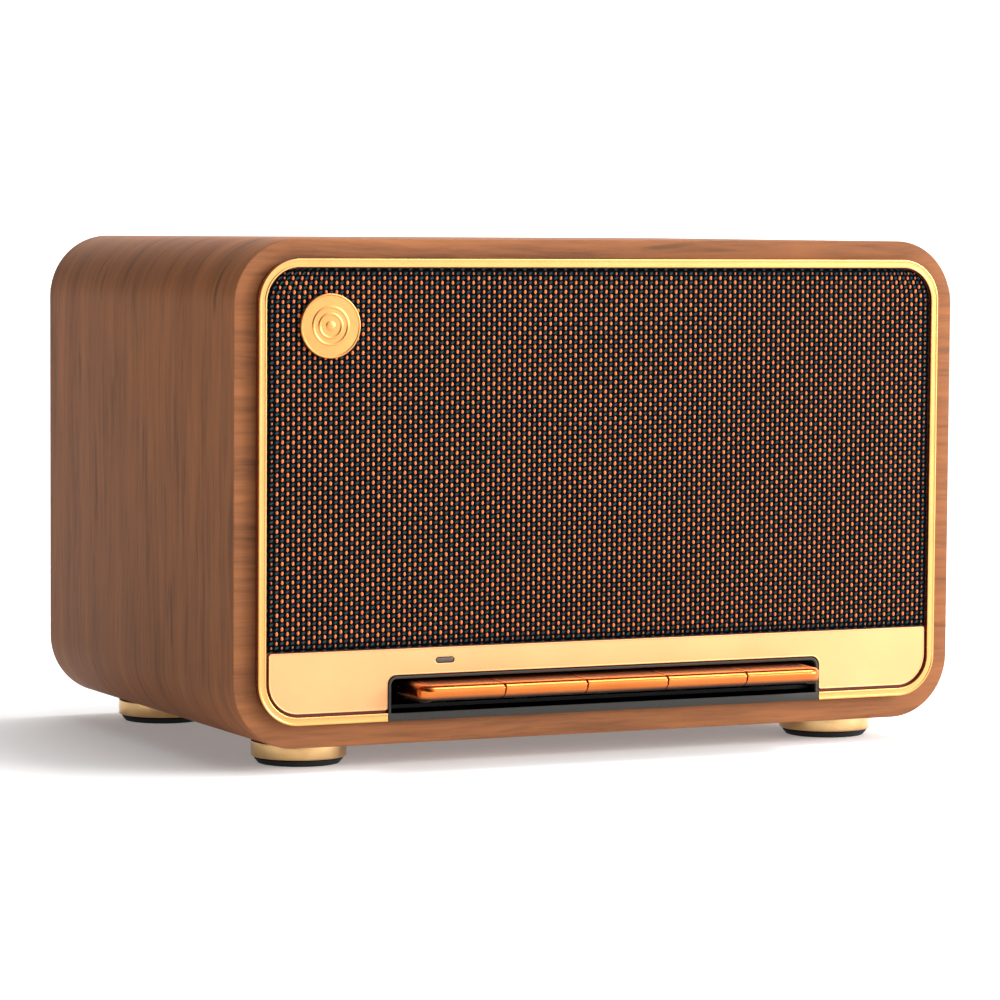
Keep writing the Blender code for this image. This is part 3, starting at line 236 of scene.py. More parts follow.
# ---- cabinet ----
# A tube of board 10 mm thick with rounded corners, wrapped in walnut veneer. The grain runs round the box
# on the outside, and straight across on the front and back edges, which are only just eased.
CABINET_CORNER = 21.8 * MM
WALL = 10.0 * MM
REAR_REBATE = 6.0 * MM
REBATE_ROOM = 0.3 * MM
EDGE_EASE = 0.5 * MM
EDGE_FIGURE_OFFSET = 0.7
GRAIN_DRIFT = 9.0 * MM
MERGE_REACH = 0.002 * MM
LEVEL_REACH = 0.01 * MM


def round_outline(box, radii, arc_steps, side_steps, opening=0.0):
    """A rectangle with rounded corners in X and Z: four quarter circles joined by straight sides, walked
    anticlockwise seen from the front, from the middle of the bottom or from one edge of an opening there to
    the other. The radii are bottom right, top right, top left and bottom left. Returns the points, their
    outward normals and the length walked to each."""
    left, right, bottom, top = box
    middle = (left + right) / 2.0
    centres = [
        (right - radii[0], bottom + radii[0]),
        (right - radii[1], top - radii[1]),
        (left + radii[2], top - radii[2]),
        (left + radii[3], bottom + radii[3]),
    ]
    share = np.linspace(0.0, 1.0, side_steps + 1)[1:, None]
    points = [np.array([[middle + opening, bottom]])]
    normals = [np.array([[0.0, -1.0]])]
    for index, (centre, radius) in enumerate(zip(centres, radii)):
        angle = np.radians(np.linspace(index * 90.0 - 90.0, index * 90.0, arc_steps + 1))[:, None]
        outward = np.concatenate([np.cos(angle), np.sin(angle)], 1)
        arc = np.array(centre) + radius * outward
        points.append(points[-1][-1] + (arc[0] - points[-1][-1]) * share[:-1])
        normals.append(np.repeat(outward[:1], side_steps - 1, 0))
        points.append(arc)
        normals.append(outward)
    points.append(points[-1][-1] + (np.array([middle - opening, bottom]) - points[-1][-1]) * share)
    normals.append(np.repeat(normals[-1][-1:], side_steps, 0))
    points = np.concatenate(points)
    walked = np.concatenate([[0.0], np.cumsum(np.linalg.norm(np.diff(points, axis=0), axis=1))])
    return points, np.concatenate(normals), walked


def round_off(corners, radii, steps=4):
    """A closed outline through corners, each turned by an arc of its own radius tangent to both its sides.
    The first point comes again at the end."""
    corners = np.array(corners, float)
    arcs = []
    neighbours = zip(corners, np.roll(corners, 1, 0), np.roll(corners, -1, 0), radii)
    for corner, before, after, radius in neighbours:
        back = (before - corner) / np.linalg.norm(before - corner)
        onward = (after - corner) / np.linalg.norm(after - corner)
        half = math.acos(float(back @ onward)) / 2.0
        centre = corner + (back + onward) / np.linalg.norm(back + onward) * radius / math.sin(half)
        start = corner + back * radius / math.tan(half) - centre
        angle = np.linspace(0.0, math.pi - 2.0 * half, steps + 1)[:, None]
        arcs.append(centre + start * np.cos(angle) - back * radius * np.sin(angle))
    return np.concatenate([*arcs, arcs[0][:1]])


def sweep(points, normals, profile):
    """Carries a profile of (inset, depth) points along an outline: each moves in from the outline along its
    normal by the inset, at the Y of the depth. The rows are the profile and the columns the outline."""
    inset, depth = profile.T
    flat = points[None] - inset[:, None, None] * normals[None]
    depths = np.broadcast_to(depth[:, None], flat.shape[:2])
    return np.stack([flat[..., 0], depths, flat[..., 1]], -1)


def grid_faces(rows, columns, first=0):
    """The four-sided faces between neighbouring points of a grid of rows by columns."""
    corner = first + (np.arange(rows - 1)[:, None] * columns + np.arange(columns - 1)).ravel()
    return np.stack([corner, corner + 1, corner + columns + 1, corner + columns], -1)


def make_piece(
    name, points, finish, slot, *stands_for,
    faces=None, body="cabinet", uv=None, fills=(), sharp=30.0, closed=True,
):
    """Makes a piece from a grid of points, or from points and arrays of faces, to stand for CAD nodes.
    Points closer than MERGE_REACH are merged, open loops at the depths in fills are filled flat, and the
    faces of a closed piece are turned outwards. Edges that bend by more than sharp degrees stay crisp."""
    mesh = bpy.data.meshes.new(name)
    faces = faces or [grid_faces(*points.shape[:2])]
    corners = [face for group in faces for face in group.tolist()]
    mesh.from_pydata(points.reshape(-1, 3).tolist(), [], corners)
    if uv is not None:
        mesh.uv_layers.new(name="cut")
        mesh.uv_layers["cut"].data.foreach_set("uv", uv.ravel())
    shape = bmesh.new()
    shape.from_mesh(mesh)
    for face in shape.faces:
        face.smooth = True
    if closed:
        bmesh.ops.remove_doubles(shape, verts=shape.verts, dist=MERGE_REACH)
        for depth in fills:
            level = {corner for corner in shape.verts if abs(corner.co.y - depth) < LEVEL_REACH}
            rim = [edge for edge in shape.edges if edge.is_boundary and level.issuperset(edge.verts)]
            for filled in bmesh.ops.triangle_fill(shape, edges=rim, use_beauty=True)["geom"]:
                filled.smooth = False
        bmesh.ops.recalc_face_normals(shape, faces=shape.faces)
    shape.to_mesh(mesh)
    shape.free()
    mesh.set_sharp_from_angle(angle=math.radians(sharp))
    mesh.materials.append(finish.material)
    piece = bpy.data.objects.new(name, mesh)
    bpy.context.collection.objects.link(piece)
    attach(piece, body)
    if stands_for:
        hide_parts(*stands_for)
    return piece


veneer = Finish("walnut veneer", {"Specular IOR Level": 0.12})
along, across, _ = veneer.parts(veneer.node("UVMap", {"uv_map": "cut"}, {}))
wander = veneer.noise(veneer.joined(along * 8.0, across * 22.0, 0.0), 1.0, 3.0)
drifted = across + wander * GRAIN_DRIFT


def figure(lengthwise, crosswise, layer, detail=2.0, broken=0.5):
    """Noise that changes so many times a metre along the grain and across it, one pattern to a layer."""
    return veneer.noise(veneer.joined(along * lengthwise, drifted * crosswise, layer), 1.0, detail, broken)


broad_bands = figure(7.0, 85.0, 0.0)
grain_lines = figure(30.0, 420.0, 0.4, 5.0, 0.62)
dark_streaks = figure(26.0, 230.0, 0.8)
pores = figure(110.0, 3400.0, 1.2)
tone = broad_bands * 0.4 + grain_lines * 0.6
wood_colour = veneer.ramp(
    tone,
    (0.32, paint(106, 67, 42)),
    (0.45, paint(133, 84, 53)),
    (0.57, paint(147, 93, 57)),
    (0.72, paint(162, 103, 65)),
)
streak_share = veneer.remap(dark_streaks, 0.62, 0.76)
pore_share = veneer.remap(pores, 0.60, 0.74)
wood_colour = veneer.mix(streak_share * 0.5, wood_colour, paint(74, 54, 42))
wood_colour = veneer.mix(pore_share * 0.30, wood_colour, paint(86, 52, 36))
wood_relief = grain_lines * 0.35 - pore_share * 0.65
veneer.shade(
    {
        "Base Color": wood_colour,
        "Roughness": 0.55 + pore_share * 0.1 + grain_lines * 0.1,
        "Normal": veneer.bump(wood_relief, 0.05 * MM, 0.7),
    }
)

cabinet_low, cabinet_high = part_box("cabinet_shell")
panel_low, panel_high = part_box("rear_panel")
cabinet_sides = (cabinet_low.x, cabinet_high.x, cabinet_low.z, cabinet_high.z)
cabinet_path, cabinet_normals, cabinet_walk = round_outline(
    cabinet_sides, [CABINET_CORNER] * 4, arc_steps=24, side_steps=40
)
rebate_floor = panel_low.y - REBATE_ROOM
cabinet_profile = round_off(
    [
        (0.0, cabinet_high.y),
        (0.0, cabinet_low.y),
        (WALL, cabinet_low.y),
        (WALL, rebate_floor),
        (WALL - REAR_REBATE, rebate_floor),
        (WALL - REAR_REBATE, cabinet_high.y),
    ],
    [EDGE_EASE, EDGE_EASE, EDGE_EASE, 0.0, 0.0, EDGE_EASE],
)
cabinet_points = sweep(cabinet_path, cabinet_normals, cabinet_profile)
cabinet_faces = grid_faces(*cabinet_points.shape[:2])
round_box = np.stack(np.broadcast_arrays(cabinet_walk[None], cabinet_points[..., 1]), -1).reshape(-1, 2)
straight_across = cabinet_points[..., [0, 2]].reshape(-1, 2) + EDGE_FIGURE_OFFSET
step_in, step_back = np.abs(np.diff(cabinet_profile, axis=0)).T
on_edge = np.repeat(step_in > step_back, len(cabinet_path) - 1)[:, None, None]
veneer_cut = np.where(on_edge, straight_across[cabinet_faces], round_box[cabinet_faces])
make_piece("veneered_cabinet", cabinet_points, veneer, "walnut_veneer", "cabinet_shell", uv=veneer_cut)


# ---- grille frame ----
# A frame of moulded plastic that the cloth is glued to, coloured red-brown as a painted reflection of the
# gilt trim. It plugs into the cabinet from the front and shows only as a dark line round the outside of the
# trim.
def dress(finish, *nodes):
    """Gives CAD nodes a finish through their material slots."""
    for node in nodes:
        for material_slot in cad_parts[node].material_slots:
            material_slot.material = finish.material


def grained(
    name, shader, dark, light, scale, detail, rough, relief,
    draw=None, broken=0.5, light_from=0.7, cloud=None,
):
    """A finish whose noise sets its colour from dark to light, its roughness (a least value and the share
    added to it) and its relief (a depth and a strength). Draw stretches the noise along the axes. A cloud
    is a second, coarser noise that sets the colour instead."""
    finish = Finish(name, shader)
    place = finish.stretched(finish.place(), *draw) if draw else finish.place()
    grain = finish.noise(place, scale, detail, broken)
    tone = finish.noise(finish.place(), *cloud) if cloud else grain
    finish.shade(
        {
            "Base Color": finish.ramp(tone, (0.3, paint(*dark)), (light_from, paint(*light))),
            "Roughness": rough[0] + grain * rough[1],
            "Normal": finish.bump(grain, *relief),
        }
    )
    return finish


black_moulding = grained(
    "black moulding", {"Specular IOR Level": 0.4}, (14, 13, 13), (26, 24, 23), 2600.0, 2.0,
    rough=(0.42, 0.2), relief=(0.04 * MM, 0.5),
)
# Painted reflection: the red-brown stands in for the gilt trim reflected in the frame's dark edge.
gilt_reflection_moulding = grained(
    "gilt reflection moulding", {"Specular IOR Level": 0.4}, (92, 30, 13), (108, 38, 17), 2600.0, 2.0,
    rough=(0.42, 0.2), relief=(0.04 * MM, 0.5),
)
dress(gilt_reflection_moulding, "grille_frame")


# ---- trim ring ----
# A gilt bezel of die-cast metal round the front, clipped over the frame. Its face is slightly dished
# between two fine beads, and it stops at either side of the key tray.
TRIM_CORNER = 14.2 * MM
TRIM_WIDTH = 2.75 * MM
TRIM_BEAD = 0.55 * MM
TRIM_SLOPE = 0.275 * MM
TRIM_DISH = 0.14 * MM
RING_EDGE_EASE = 0.24 * MM
RING_DISH_EASE = 0.15 * MM
RING_BACK_EASE = 0.1 * MM
MOUTH_ROOM = 0.3 * MM

gilt = grained(
    "gilt trim", {"Metallic": 1.0}, (216, 157, 93), (222, 165, 101), 4200.0, 2.0,
    rough=(0.20, 0.12), relief=(0.01 * MM, 0.35), cloud=(60.0, 3.0),
)
ring_low, ring_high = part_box("trim_ring")
tray_low, tray_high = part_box("key_tray")
mouth_half = tray_high.x + MOUTH_ROOM
ring_sides = (ring_low.x, ring_high.x, ring_low.z, ring_high.z)
ring_path, ring_normals, _ = round_outline(
    ring_sides, [TRIM_CORNER] * 4, arc_steps=24, side_steps=12, opening=mouth_half
)
ring_profile = round_off(
    [
        (0.0, ring_high.y),
        (0.0, ring_low.y),
        (TRIM_BEAD, ring_low.y),
        (TRIM_BEAD + TRIM_SLOPE, ring_low.y + TRIM_DISH),
        (TRIM_WIDTH - TRIM_BEAD - TRIM_SLOPE, ring_low.y + TRIM_DISH),
        (TRIM_WIDTH - TRIM_BEAD, ring_low.y),
        (TRIM_WIDTH, ring_low.y),
        (TRIM_WIDTH, ring_high.y),
    ],
    [RING_BACK_EASE, RING_EDGE_EASE] + [RING_DISH_EASE] * 4 + [RING_EDGE_EASE, RING_BACK_EASE],
)


def capped_sweep(path, normals, profile):
    """A sweep whose two ends are closed, each by a last column drawn together at the middle of the end."""
    points = sweep(path, normals, profile)
    middles = [np.broadcast_to(points[:-1, end].mean(0), points[:, end].shape)[:, None] for end in (0, -1)]
    return np.concatenate([middles[0], points, middles[1]], 1)


ring_points = capped_sweep(ring_path, ring_normals, ring_profile)
make_piece("gilt_ring", ring_points, gilt, "gold_trim", "trim_ring")


# ---- grille cloth ----
# Black yarns, with a slate sheen painted on between the floats, woven with copper ones that float over them
# in staggered rows of short ovals. The cloth is stretched over the front of the frame and glued round its
# edge, where it rolls back; near there the copper floats are darkened by painted shade.
CLOTH_TOP_CORNER = 11.15 * MM
CORNER_REACH = 26.0 * MM
CLOTH_ROLL = 2.4 * MM
CLOTH_ROLL_DROP = 0.42 * MM
FLOAT_PITCH_X = 3.78 * MM
FLOAT_PITCH_Z = 3.04 * MM
FLOAT_HALF_WIDTH = 0.59 * MM
FLOAT_HALF_HEIGHT = 0.86 * MM
FLOAT_RISE = 0.34 * MM
FLOAT_SEAT = 0.30 * MM
FLOAT_SCATTER = 0.03 * MM
FLOAT_LEAN = 0.07
FLOAT_NEAREST = 0.35 * MM
FLOAT_FULL_SIZE_FROM = 3.4 * MM
FLOAT_CORNERS = 8
SHOULDER_WIDTH_SHARE = 0.66
SHOULDER_HEIGHT_SHARE = 0.70
SHOULDER_RISE_SHARE = 0.78
GROUND_DEPTH = 0.17 * MM
GROUND_RELIEF = 0.07 * MM
HEM_WIDTH = 4.0 * MM
CLOTH_COLUMNS = 420
CLOTH_ROWS = 212

cloth_low, cloth_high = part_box("grille_cloth")
cloth_half = (cloth_high.x - cloth_low.x) / 2.0
cloth_height = cloth_high.z - cloth_low.z
corner_centre_z = cloth_high.z - CLOTH_TOP_CORNER


def cloth_surface(flat_x, flat_z):
    """Where a point of the flat cloth lies on the frame, and how far it is from the cloth's edge. Near the
    two top corners the rows draw in, most at their ends, to follow the frame round. The last millimetre or
    so rolls back in a quarter circle."""
    above = np.clip(flat_z - corner_centre_z, 0.0, CLOTH_TOP_CORNER)
    pull = CLOTH_TOP_CORNER - np.sqrt(CLOTH_TOP_CORNER**2 - above**2)
    near_end = np.clip(1.0 - (cloth_half - np.abs(flat_x)) / CORNER_REACH, 0.0, 1.0)
    x = flat_x - np.sign(flat_x) * pull * near_end**2
    corner_x = np.abs(x) - (cloth_half - CLOTH_TOP_CORNER)
    from_corner = CLOTH_TOP_CORNER - np.hypot(np.maximum(corner_x, 0.0), above)
    from_side = np.minimum(cloth_half - np.abs(x), cloth_high.z - flat_z)
    from_edge = np.where((corner_x > 0.0) & (above > 0.0), from_corner, from_side)
    from_edge = np.clip(np.minimum(from_edge, flat_z - cloth_low.z), 0.0, None)
    rolled = np.clip(1.0 - from_edge / CLOTH_ROLL, 0.0, 1.0)
    return x, cloth_low.y + CLOTH_ROLL_DROP * (1.0 - np.sqrt(1.0 - rolled**2)), flat_z, from_edge


yarn_black = paint(1, 3, 6)
painted_yarn_sheen = paint(42, 62, 67)
ground_yarn = Finish("ground yarn", {"Roughness": 0.7, "Specular IOR Level": 0.02})
weave_x, weave_z, _ = ground_yarn.parts(ground_yarn.node("UVMap", {"uv_map": "cut"}, {}))
turns_x = weave_x * (math.tau / FLOAT_PITCH_X)
turns_z = weave_z * (math.tau / FLOAT_PITCH_Z)
crossing = turns_x.through("COSINE") * turns_z.through("COSINE")
# Painted sheen: slate is painted over the black yarn in short diagonal streaks between the copper floats.
painted_sheen_share = ground_yarn.remap(crossing * -1.0, 0.15, 0.9)
twist = (weave_x * 9000.0 + weave_z * 6500.0).through("SINE") * 0.5 + 0.5
fibre = ground_yarn.noise(ground_yarn.place(), 3000.0, 2.0)
sheen_streak = ground_yarn.remap((turns_x - turns_z).through("COSINE") * -1.0, 0.3, 1.0, 0.25, 1.0)
painted_sheen_tone = painted_sheen_share * sheen_streak * (0.5 + fibre)
ground_yarn.shade(
    {
        "Base Color": ground_yarn.mix(painted_sheen_tone, yarn_black, painted_yarn_sheen),
        "Normal": ground_yarn.bump(twist * 0.5 + fibre * 0.5, 0.12 * MM, 0.8),
    }
)

cloth_u, cloth_v = np.meshgrid(
    np.linspace(-cloth_half, cloth_half, CLOTH_COLUMNS), np.linspace(0.0, cloth_height, CLOTH_ROWS)
)
cloth_v = cloth_v + cloth_low.z
cloth_x, cloth_y, cloth_z, _ = cloth_surface(cloth_u, cloth_v)
across_turns = cloth_u * math.tau / FLOAT_PITCH_X
up_turns = (cloth_v - cloth_low.z) * math.tau / FLOAT_PITCH_Z
cloth_y = cloth_y + GROUND_DEPTH + GROUND_RELIEF * np.cos(across_turns) * np.cos(up_turns)
cloth_points = np.stack([cloth_x, cloth_y, cloth_z], -1)
cloth_faces = grid_faces(CLOTH_ROWS, CLOTH_COLUMNS)
cloth_cut = np.stack([cloth_u, cloth_v - cloth_low.z], -1).reshape(-1, 2)[cloth_faces]
cloth_sheet = make_piece(
    "woven_cloth", cloth_points, ground_yarn, "grille_fabric", "grille_cloth", uv=cloth_cut, closed=False
)

copper_yarn = Finish("copper yarn", {"Specular IOR Level": 0.3})
yarn_place = copper_yarn.place()
strands = copper_yarn.noise(copper_yarn.stretched(yarn_place, 9000.0, 9000.0, 900.0), 1.0, 2.0)
from_hem, dye, _ = copper_yarn.parts(copper_yarn.node("UVMap", {"uv_map": "cut"}, {}))
dyed = copper_yarn.ramp(dye, (0.0, paint(212, 106, 44)), (1.0, paint(232, 124, 56)))
# Painted shade: floats within about 4 mm of the cloth's edge darken towards it, up to three quarters of the
# way to dark brown.
painted_hem_shade = copper_yarn.remap(from_hem, 0.1, 0.9, 0.75, 0.0)
copper_yarn.shade(
    {
        "Base Color": copper_yarn.mix(
            painted_hem_shade, copper_yarn.mix(strands * 0.5, dyed, paint(150, 62, 20)), paint(52, 22, 14)
        ),
        "Roughness": 0.38 + strands * 0.2,
        "Normal": copper_yarn.bump(strands, 0.06 * MM, 0.8),
    }
)

float_columns = int(cloth_half / FLOAT_PITCH_X)
float_rows = int(cloth_height / FLOAT_PITCH_Z) + 1
lattice_columns = np.arange(-float_columns - 1, float_columns + 2)
lattice_x, lattice_z = np.meshgrid(lattice_columns, np.arange(float_rows + 1))
float_x = np.concatenate([lattice_x.ravel(), lattice_x.ravel() + 0.5]) * FLOAT_PITCH_X
float_z = np.concatenate([lattice_z.ravel(), lattice_z.ravel() + 0.5]) * FLOAT_PITCH_Z + cloth_low.z
inside = (np.abs(float_x) < cloth_half) & (float_z < cloth_high.z) & (float_z > cloth_low.z)
float_x, float_z = float_x[inside], float_z[inside]
hand = np.random.default_rng(5)
float_x = float_x + hand.normal(0.0, FLOAT_SCATTER, len(float_x))
float_z = float_z + hand.normal(0.0, FLOAT_SCATTER, len(float_z))
float_x, float_y, float_z, float_edge = cloth_surface(float_x, float_z)
shown = float_edge > FLOAT_NEAREST
float_x, float_y, float_z, float_edge = float_x[shown], float_y[shown], float_z[shown], float_edge[shown]
float_size = 0.5 + 0.5 * np.clip(float_edge / FLOAT_FULL_SIZE_FROM, 0.0, 1.0)
float_size = float_size * hand.uniform(0.92, 1.06, len(float_x))
float_lean = hand.normal(0.0, FLOAT_LEAN, len(float_x))
float_dye = hand.uniform(0.0, 1.0, len(float_x))
ring_angle = np.arange(FLOAT_CORNERS) * math.tau / FLOAT_CORNERS
oval_x = np.concatenate([np.cos(ring_angle), SHOULDER_WIDTH_SHARE * np.cos(ring_angle), [0.0]])
oval_z = np.concatenate([np.sin(ring_angle), SHOULDER_HEIGHT_SHARE * np.sin(ring_angle), [0.0]])
oval_rise = np.repeat([0.0, SHOULDER_RISE_SHARE, 1.0], [FLOAT_CORNERS, FLOAT_CORNERS, 1])
oval_rim = np.arange(FLOAT_CORNERS)
oval_next = (oval_rim + 1) % FLOAT_CORNERS
shoulder, shoulder_next = oval_rim + FLOAT_CORNERS, oval_next + FLOAT_CORNERS
oval_sides = np.stack([oval_rim, oval_next, shoulder_next, shoulder], -1)
oval_crown = np.stack([shoulder, shoulder_next, np.full(FLOAT_CORNERS, 2 * FLOAT_CORNERS)], -1)
float_first = (np.arange(len(float_x)) * len(oval_x))[:, None, None]
oval_x, oval_z = oval_x * FLOAT_HALF_WIDTH, oval_z * FLOAT_HALF_HEIGHT
lean_x = np.cos(float_lean)[:, None] * oval_x - np.sin(float_lean)[:, None] * oval_z
lean_z = np.sin(float_lean)[:, None] * oval_x + np.cos(float_lean)[:, None] * oval_z
float_points = np.stack(
    [
        float_x[:, None] + float_size[:, None] * lean_x,
        float_y[:, None] + (FLOAT_SEAT - FLOAT_RISE * float_size[:, None] * oval_rise),
        float_z[:, None] + float_size[:, None] * lean_z,
    ],
    -1,
)
float_faces = [
    (float_first + oval_sides).reshape(-1, 4),
    (float_first + oval_crown).reshape(-1, 3),
    float_first[:, 0] + oval_rim[::-1],
]
corners_by_group = (4 * FLOAT_CORNERS, 3 * FLOAT_CORNERS, FLOAT_CORNERS)
float_index = np.arange(len(float_x))
float_corners = np.concatenate([np.repeat(float_index, corners) for corners in corners_by_group])
float_cut = np.stack([float_edge / HEM_WIDTH, float_dye], -1)[float_corners]
copper_floats = make_piece(
    "woven_cloth_copper_floats", float_points, copper_yarn, "grille_fabric",
    faces=float_faces, uv=float_cut, sharp=180.0, closed=False,
)


# ---- badge ----
# A small gilt disc pressed from sheet and held by a stud through the cloth. It is plain but for two raised
# rings and a boss in the middle, which catch the light.
BADGE_RISE = 0.22 * MM
BADGE_RINGS = (6.1 * MM, 3.9 * MM)
BADGE_RING_HALF_WIDTH = 0.5 * MM
BADGE_BOSS = 1.7 * MM
BADGE_THICKNESS = 1.15 * MM
BADGE_FACE = 0.86 * MM
BADGE_RIM_WIDTH = 0.75 * MM
BADGE_RIM_TOP = 0.55 * MM
BADGE_BACK_EASE = 0.1 * MM
BADGE_RIM_EASE = 0.35 * MM
BADGE_STEP_EASE = 0.15 * MM
BADGE_SEAT = 1.2 * MM


def turned(profile, centre, up, side, steps):
    """Turns a profile of (radius, height) points once round an axis through the centre: each point goes its
    radius out, from the side direction round, and its height up the axis."""
    radius, height = profile.T
    angle = np.linspace(0.0, math.tau, steps + 1)[:, None]
    outward = np.cos(angle) * np.array(side) + np.sin(angle) * np.cross(up, side)
    return np.array(centre) + radius[:, None, None] * outward + height[:, None, None] * np.array(up, float)


FRONT, SIDE, UP = (0.0, -1.0, 0.0), (1.0, 0.0, 0.0), (0.0, 0.0, 1.0)
badge_low, badge_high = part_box("grille_badge")
badge_radius = (badge_high.x - badge_low.x) / 2.0
badge_centre = ((badge_low.x + badge_high.x) / 2.0, badge_low.y + BADGE_SEAT, badge_high.z - badge_radius)
face_radius = np.linspace(badge_radius - BADGE_RIM_WIDTH, 0.0, 90)
from_ring = [np.clip((face_radius - middle) / BADGE_RING_HALF_WIDTH, -1.0, 1.0) for middle in BADGE_RINGS]
ring_waves = np.cos(np.array(from_ring) * math.pi / 2.0)
boss = np.sqrt(np.clip(1.0 - (face_radius / BADGE_BOSS) ** 2, 0.0, 1.0))
face_height = BADGE_FACE + BADGE_RISE * (ring_waves[0] + ring_waves[1] + 1.4 * boss)
badge_rim = round_off(
    [
        (0.0, 0.0),
        (badge_radius, 0.0),
        (badge_radius, BADGE_THICKNESS),
        (badge_radius - BADGE_RIM_TOP, BADGE_THICKNESS),
        (badge_radius - BADGE_RIM_WIDTH, BADGE_FACE),
    ],
    [0.0, BADGE_BACK_EASE, BADGE_RIM_EASE, BADGE_STEP_EASE, 0.0],
)[:-1]
badge_profile = np.concatenate([badge_rim, np.stack([face_radius, face_height], -1), badge_rim[:1]])
badge_points = turned(badge_profile, badge_centre, FRONT, SIDE, steps=128)
badge_gilt = grained(
    "badge gilt", {"Metallic": 1.0}, (208, 141, 82), (214, 150, 88), 3600.0, 2.0,
    rough=(0.24, 0.14), relief=(0.012 * MM, 0.4), cloud=(90.0, 2.0),
)
make_piece("gilt_badge", badge_points, badge_gilt, "gold_trim", "grille_badge")


# ---- fascia plate ----
# A satin gilt plate across the bottom of the front, inside the ring, cut away round the key tray and
# pierced for the indicator. Its edge is a fine raised bead left by the press.
FASCIA_CORNER = 10.45 * MM
MOUTH_CORNER = 3.0 * MM
FASCIA_EASE = 0.9 * MM
BEAD_WIDTH = 0.5 * MM
BEAD_RISE = 0.06 * MM
BEAD_FLATS = (0.0, 0.10 * MM, 0.30 * MM)
BEAD_SECTION = np.array([(0.0, 0.16), (0.05, 0.05), (0.16, 0.0), (0.30, 0.0), (0.42, 0.05)]) * MM
SLOT_SECTION = np.array([(-0.40, 0.0), (-0.12, 0.0), (-0.04, 0.03), (0.0, 0.12)]) * MM
SLOT_ROOM = 0.15 * MM
SLOT_ROUNDNESS = 0.98

fascia_low, fascia_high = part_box("fascia_plate")
lens_low, lens_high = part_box("indicator_lens")
mouth_top = tray_high.z + MOUTH_ROOM


def outward_normals(path):
    """The outward normals of a closed anticlockwise outline, square to the line between a point's
    neighbours."""
    ring = path[:-1]
    tangent = np.roll(ring, -1, 0) - np.roll(ring, 1, 0)
    tangent = np.concatenate([tangent, tangent[:1]])
    normals = np.stack([tangent[:, 1], -tangent[:, 0]], -1)
    return normals / np.linalg.norm(normals, axis=1)[:, None]


fascia_path = round_off(
    [
        (fascia_high.x, fascia_high.z),
        (fascia_low.x, fascia_high.z),
        (fascia_low.x, fascia_low.z),
        (-mouth_half, fascia_low.z),
        (-mouth_half, mouth_top),
        (mouth_half, mouth_top),
        (mouth_half, fascia_low.z),
        (fascia_high.x, fascia_low.z),
    ],
    [FASCIA_EASE] * 2 + [FASCIA_CORNER, FASCIA_EASE] + [MOUTH_CORNER] * 2 + [FASCIA_EASE, FASCIA_CORNER],
    12,
)
face_depth = fascia_low.y + BEAD_RISE
fascia_profile = np.concatenate(
    [
        [(0.0, fascia_high.y)],
        BEAD_SECTION + (0.0, fascia_low.y),
        [(BEAD_WIDTH + flat, face_depth) for flat in BEAD_FLATS],
    ]
)
fascia_edge = sweep(fascia_path, outward_normals(fascia_path), fascia_profile)
slot_left, slot_right = lens_low.x - SLOT_ROOM, lens_high.x + SLOT_ROOM
slot_bottom, slot_top = lens_low.z - SLOT_ROOM, lens_high.z + SLOT_ROOM
slot_corner = (slot_top - slot_bottom) * SLOT_ROUNDNESS / 2.0
slot_path, slot_normals, _ = round_outline(
    (slot_left, slot_right, slot_bottom, slot_top), [slot_corner] * 4, arc_steps=8, side_steps=2
)
slot_profile = np.concatenate([SLOT_SECTION + (0.0, face_depth), [(0.0, fascia_high.y)]])
slot_edge = sweep(slot_path, slot_normals, slot_profile)
fascia_points = np.concatenate([fascia_edge.reshape(-1, 3), slot_edge.reshape(-1, 3)])
fascia_faces = [
    grid_faces(*fascia_edge.shape[:2]),
    grid_faces(*slot_edge.shape[:2], fascia_edge.shape[0] * fascia_edge.shape[1]),
]
satin_gilt = grained(
    "satin gilt", {"Metallic": 1.0}, (207, 154, 106), (212, 160, 111), 3800.0, 3.0,
    rough=(0.42, 0.12), relief=(0.015 * MM, 0.4), cloud=(45.0, 3.0),
)
make_piece(
    "satin_fascia", fascia_points, satin_gilt, "gold_trim", "fascia_plate", faces=fascia_faces,
    fills=(face_depth, fascia_high.y),
)


# ---- indicator lens ----
# A short bar of smoked plastic pushed into the slot of the plate from behind, with a softly domed end that
# sits just under the metal.
LENS_SETBACK = 0.22 * MM
LENS_DOME = 0.2 * MM
LENS_FLAT_SHARE = 0.15

lens_half = (lens_high.z - lens_low.z) / 2.0
lens_sides = (lens_low.x, lens_high.x, lens_low.z, lens_high.z)
lens_path, lens_normals, _ = round_outline(
    lens_sides, [lens_half * SLOT_ROUNDNESS] * 4, arc_steps=8, side_steps=4
)
lens_face = fascia_low.y + LENS_SETBACK
dome_share = np.linspace(0.0, 1.0, 8)
dome_drop = LENS_DOME * (1.0 - np.sqrt(1.0 - (1.0 - dome_share) ** 2))
dome_inset = lens_half * (1.0 - LENS_FLAT_SHARE) * dome_share
lens_profile = np.concatenate([[(0.0, lens_high.y)], np.stack([dome_inset, lens_face + dome_drop], -1)])
lens_points = sweep(lens_path, lens_normals, lens_profile)
smoked = Finish("smoked lens", {"Coat Weight": 0.6, "Coat Roughness": 0.08})
smoke = smoked.noise(smoked.place(), 900.0, 3.0)
smoked.shade(
    {
        "Base Color": smoked.ramp(smoke, (0.3, paint(44, 39, 36)), (0.7, paint(60, 54, 50))),
        "Roughness": 0.28 + smoke * 0.15,
    }
)
make_piece(
    "smoked_indicator", lens_points, smoked, "smoked_lens", "indicator_lens", fills=(lens_face, lens_high.y)
)


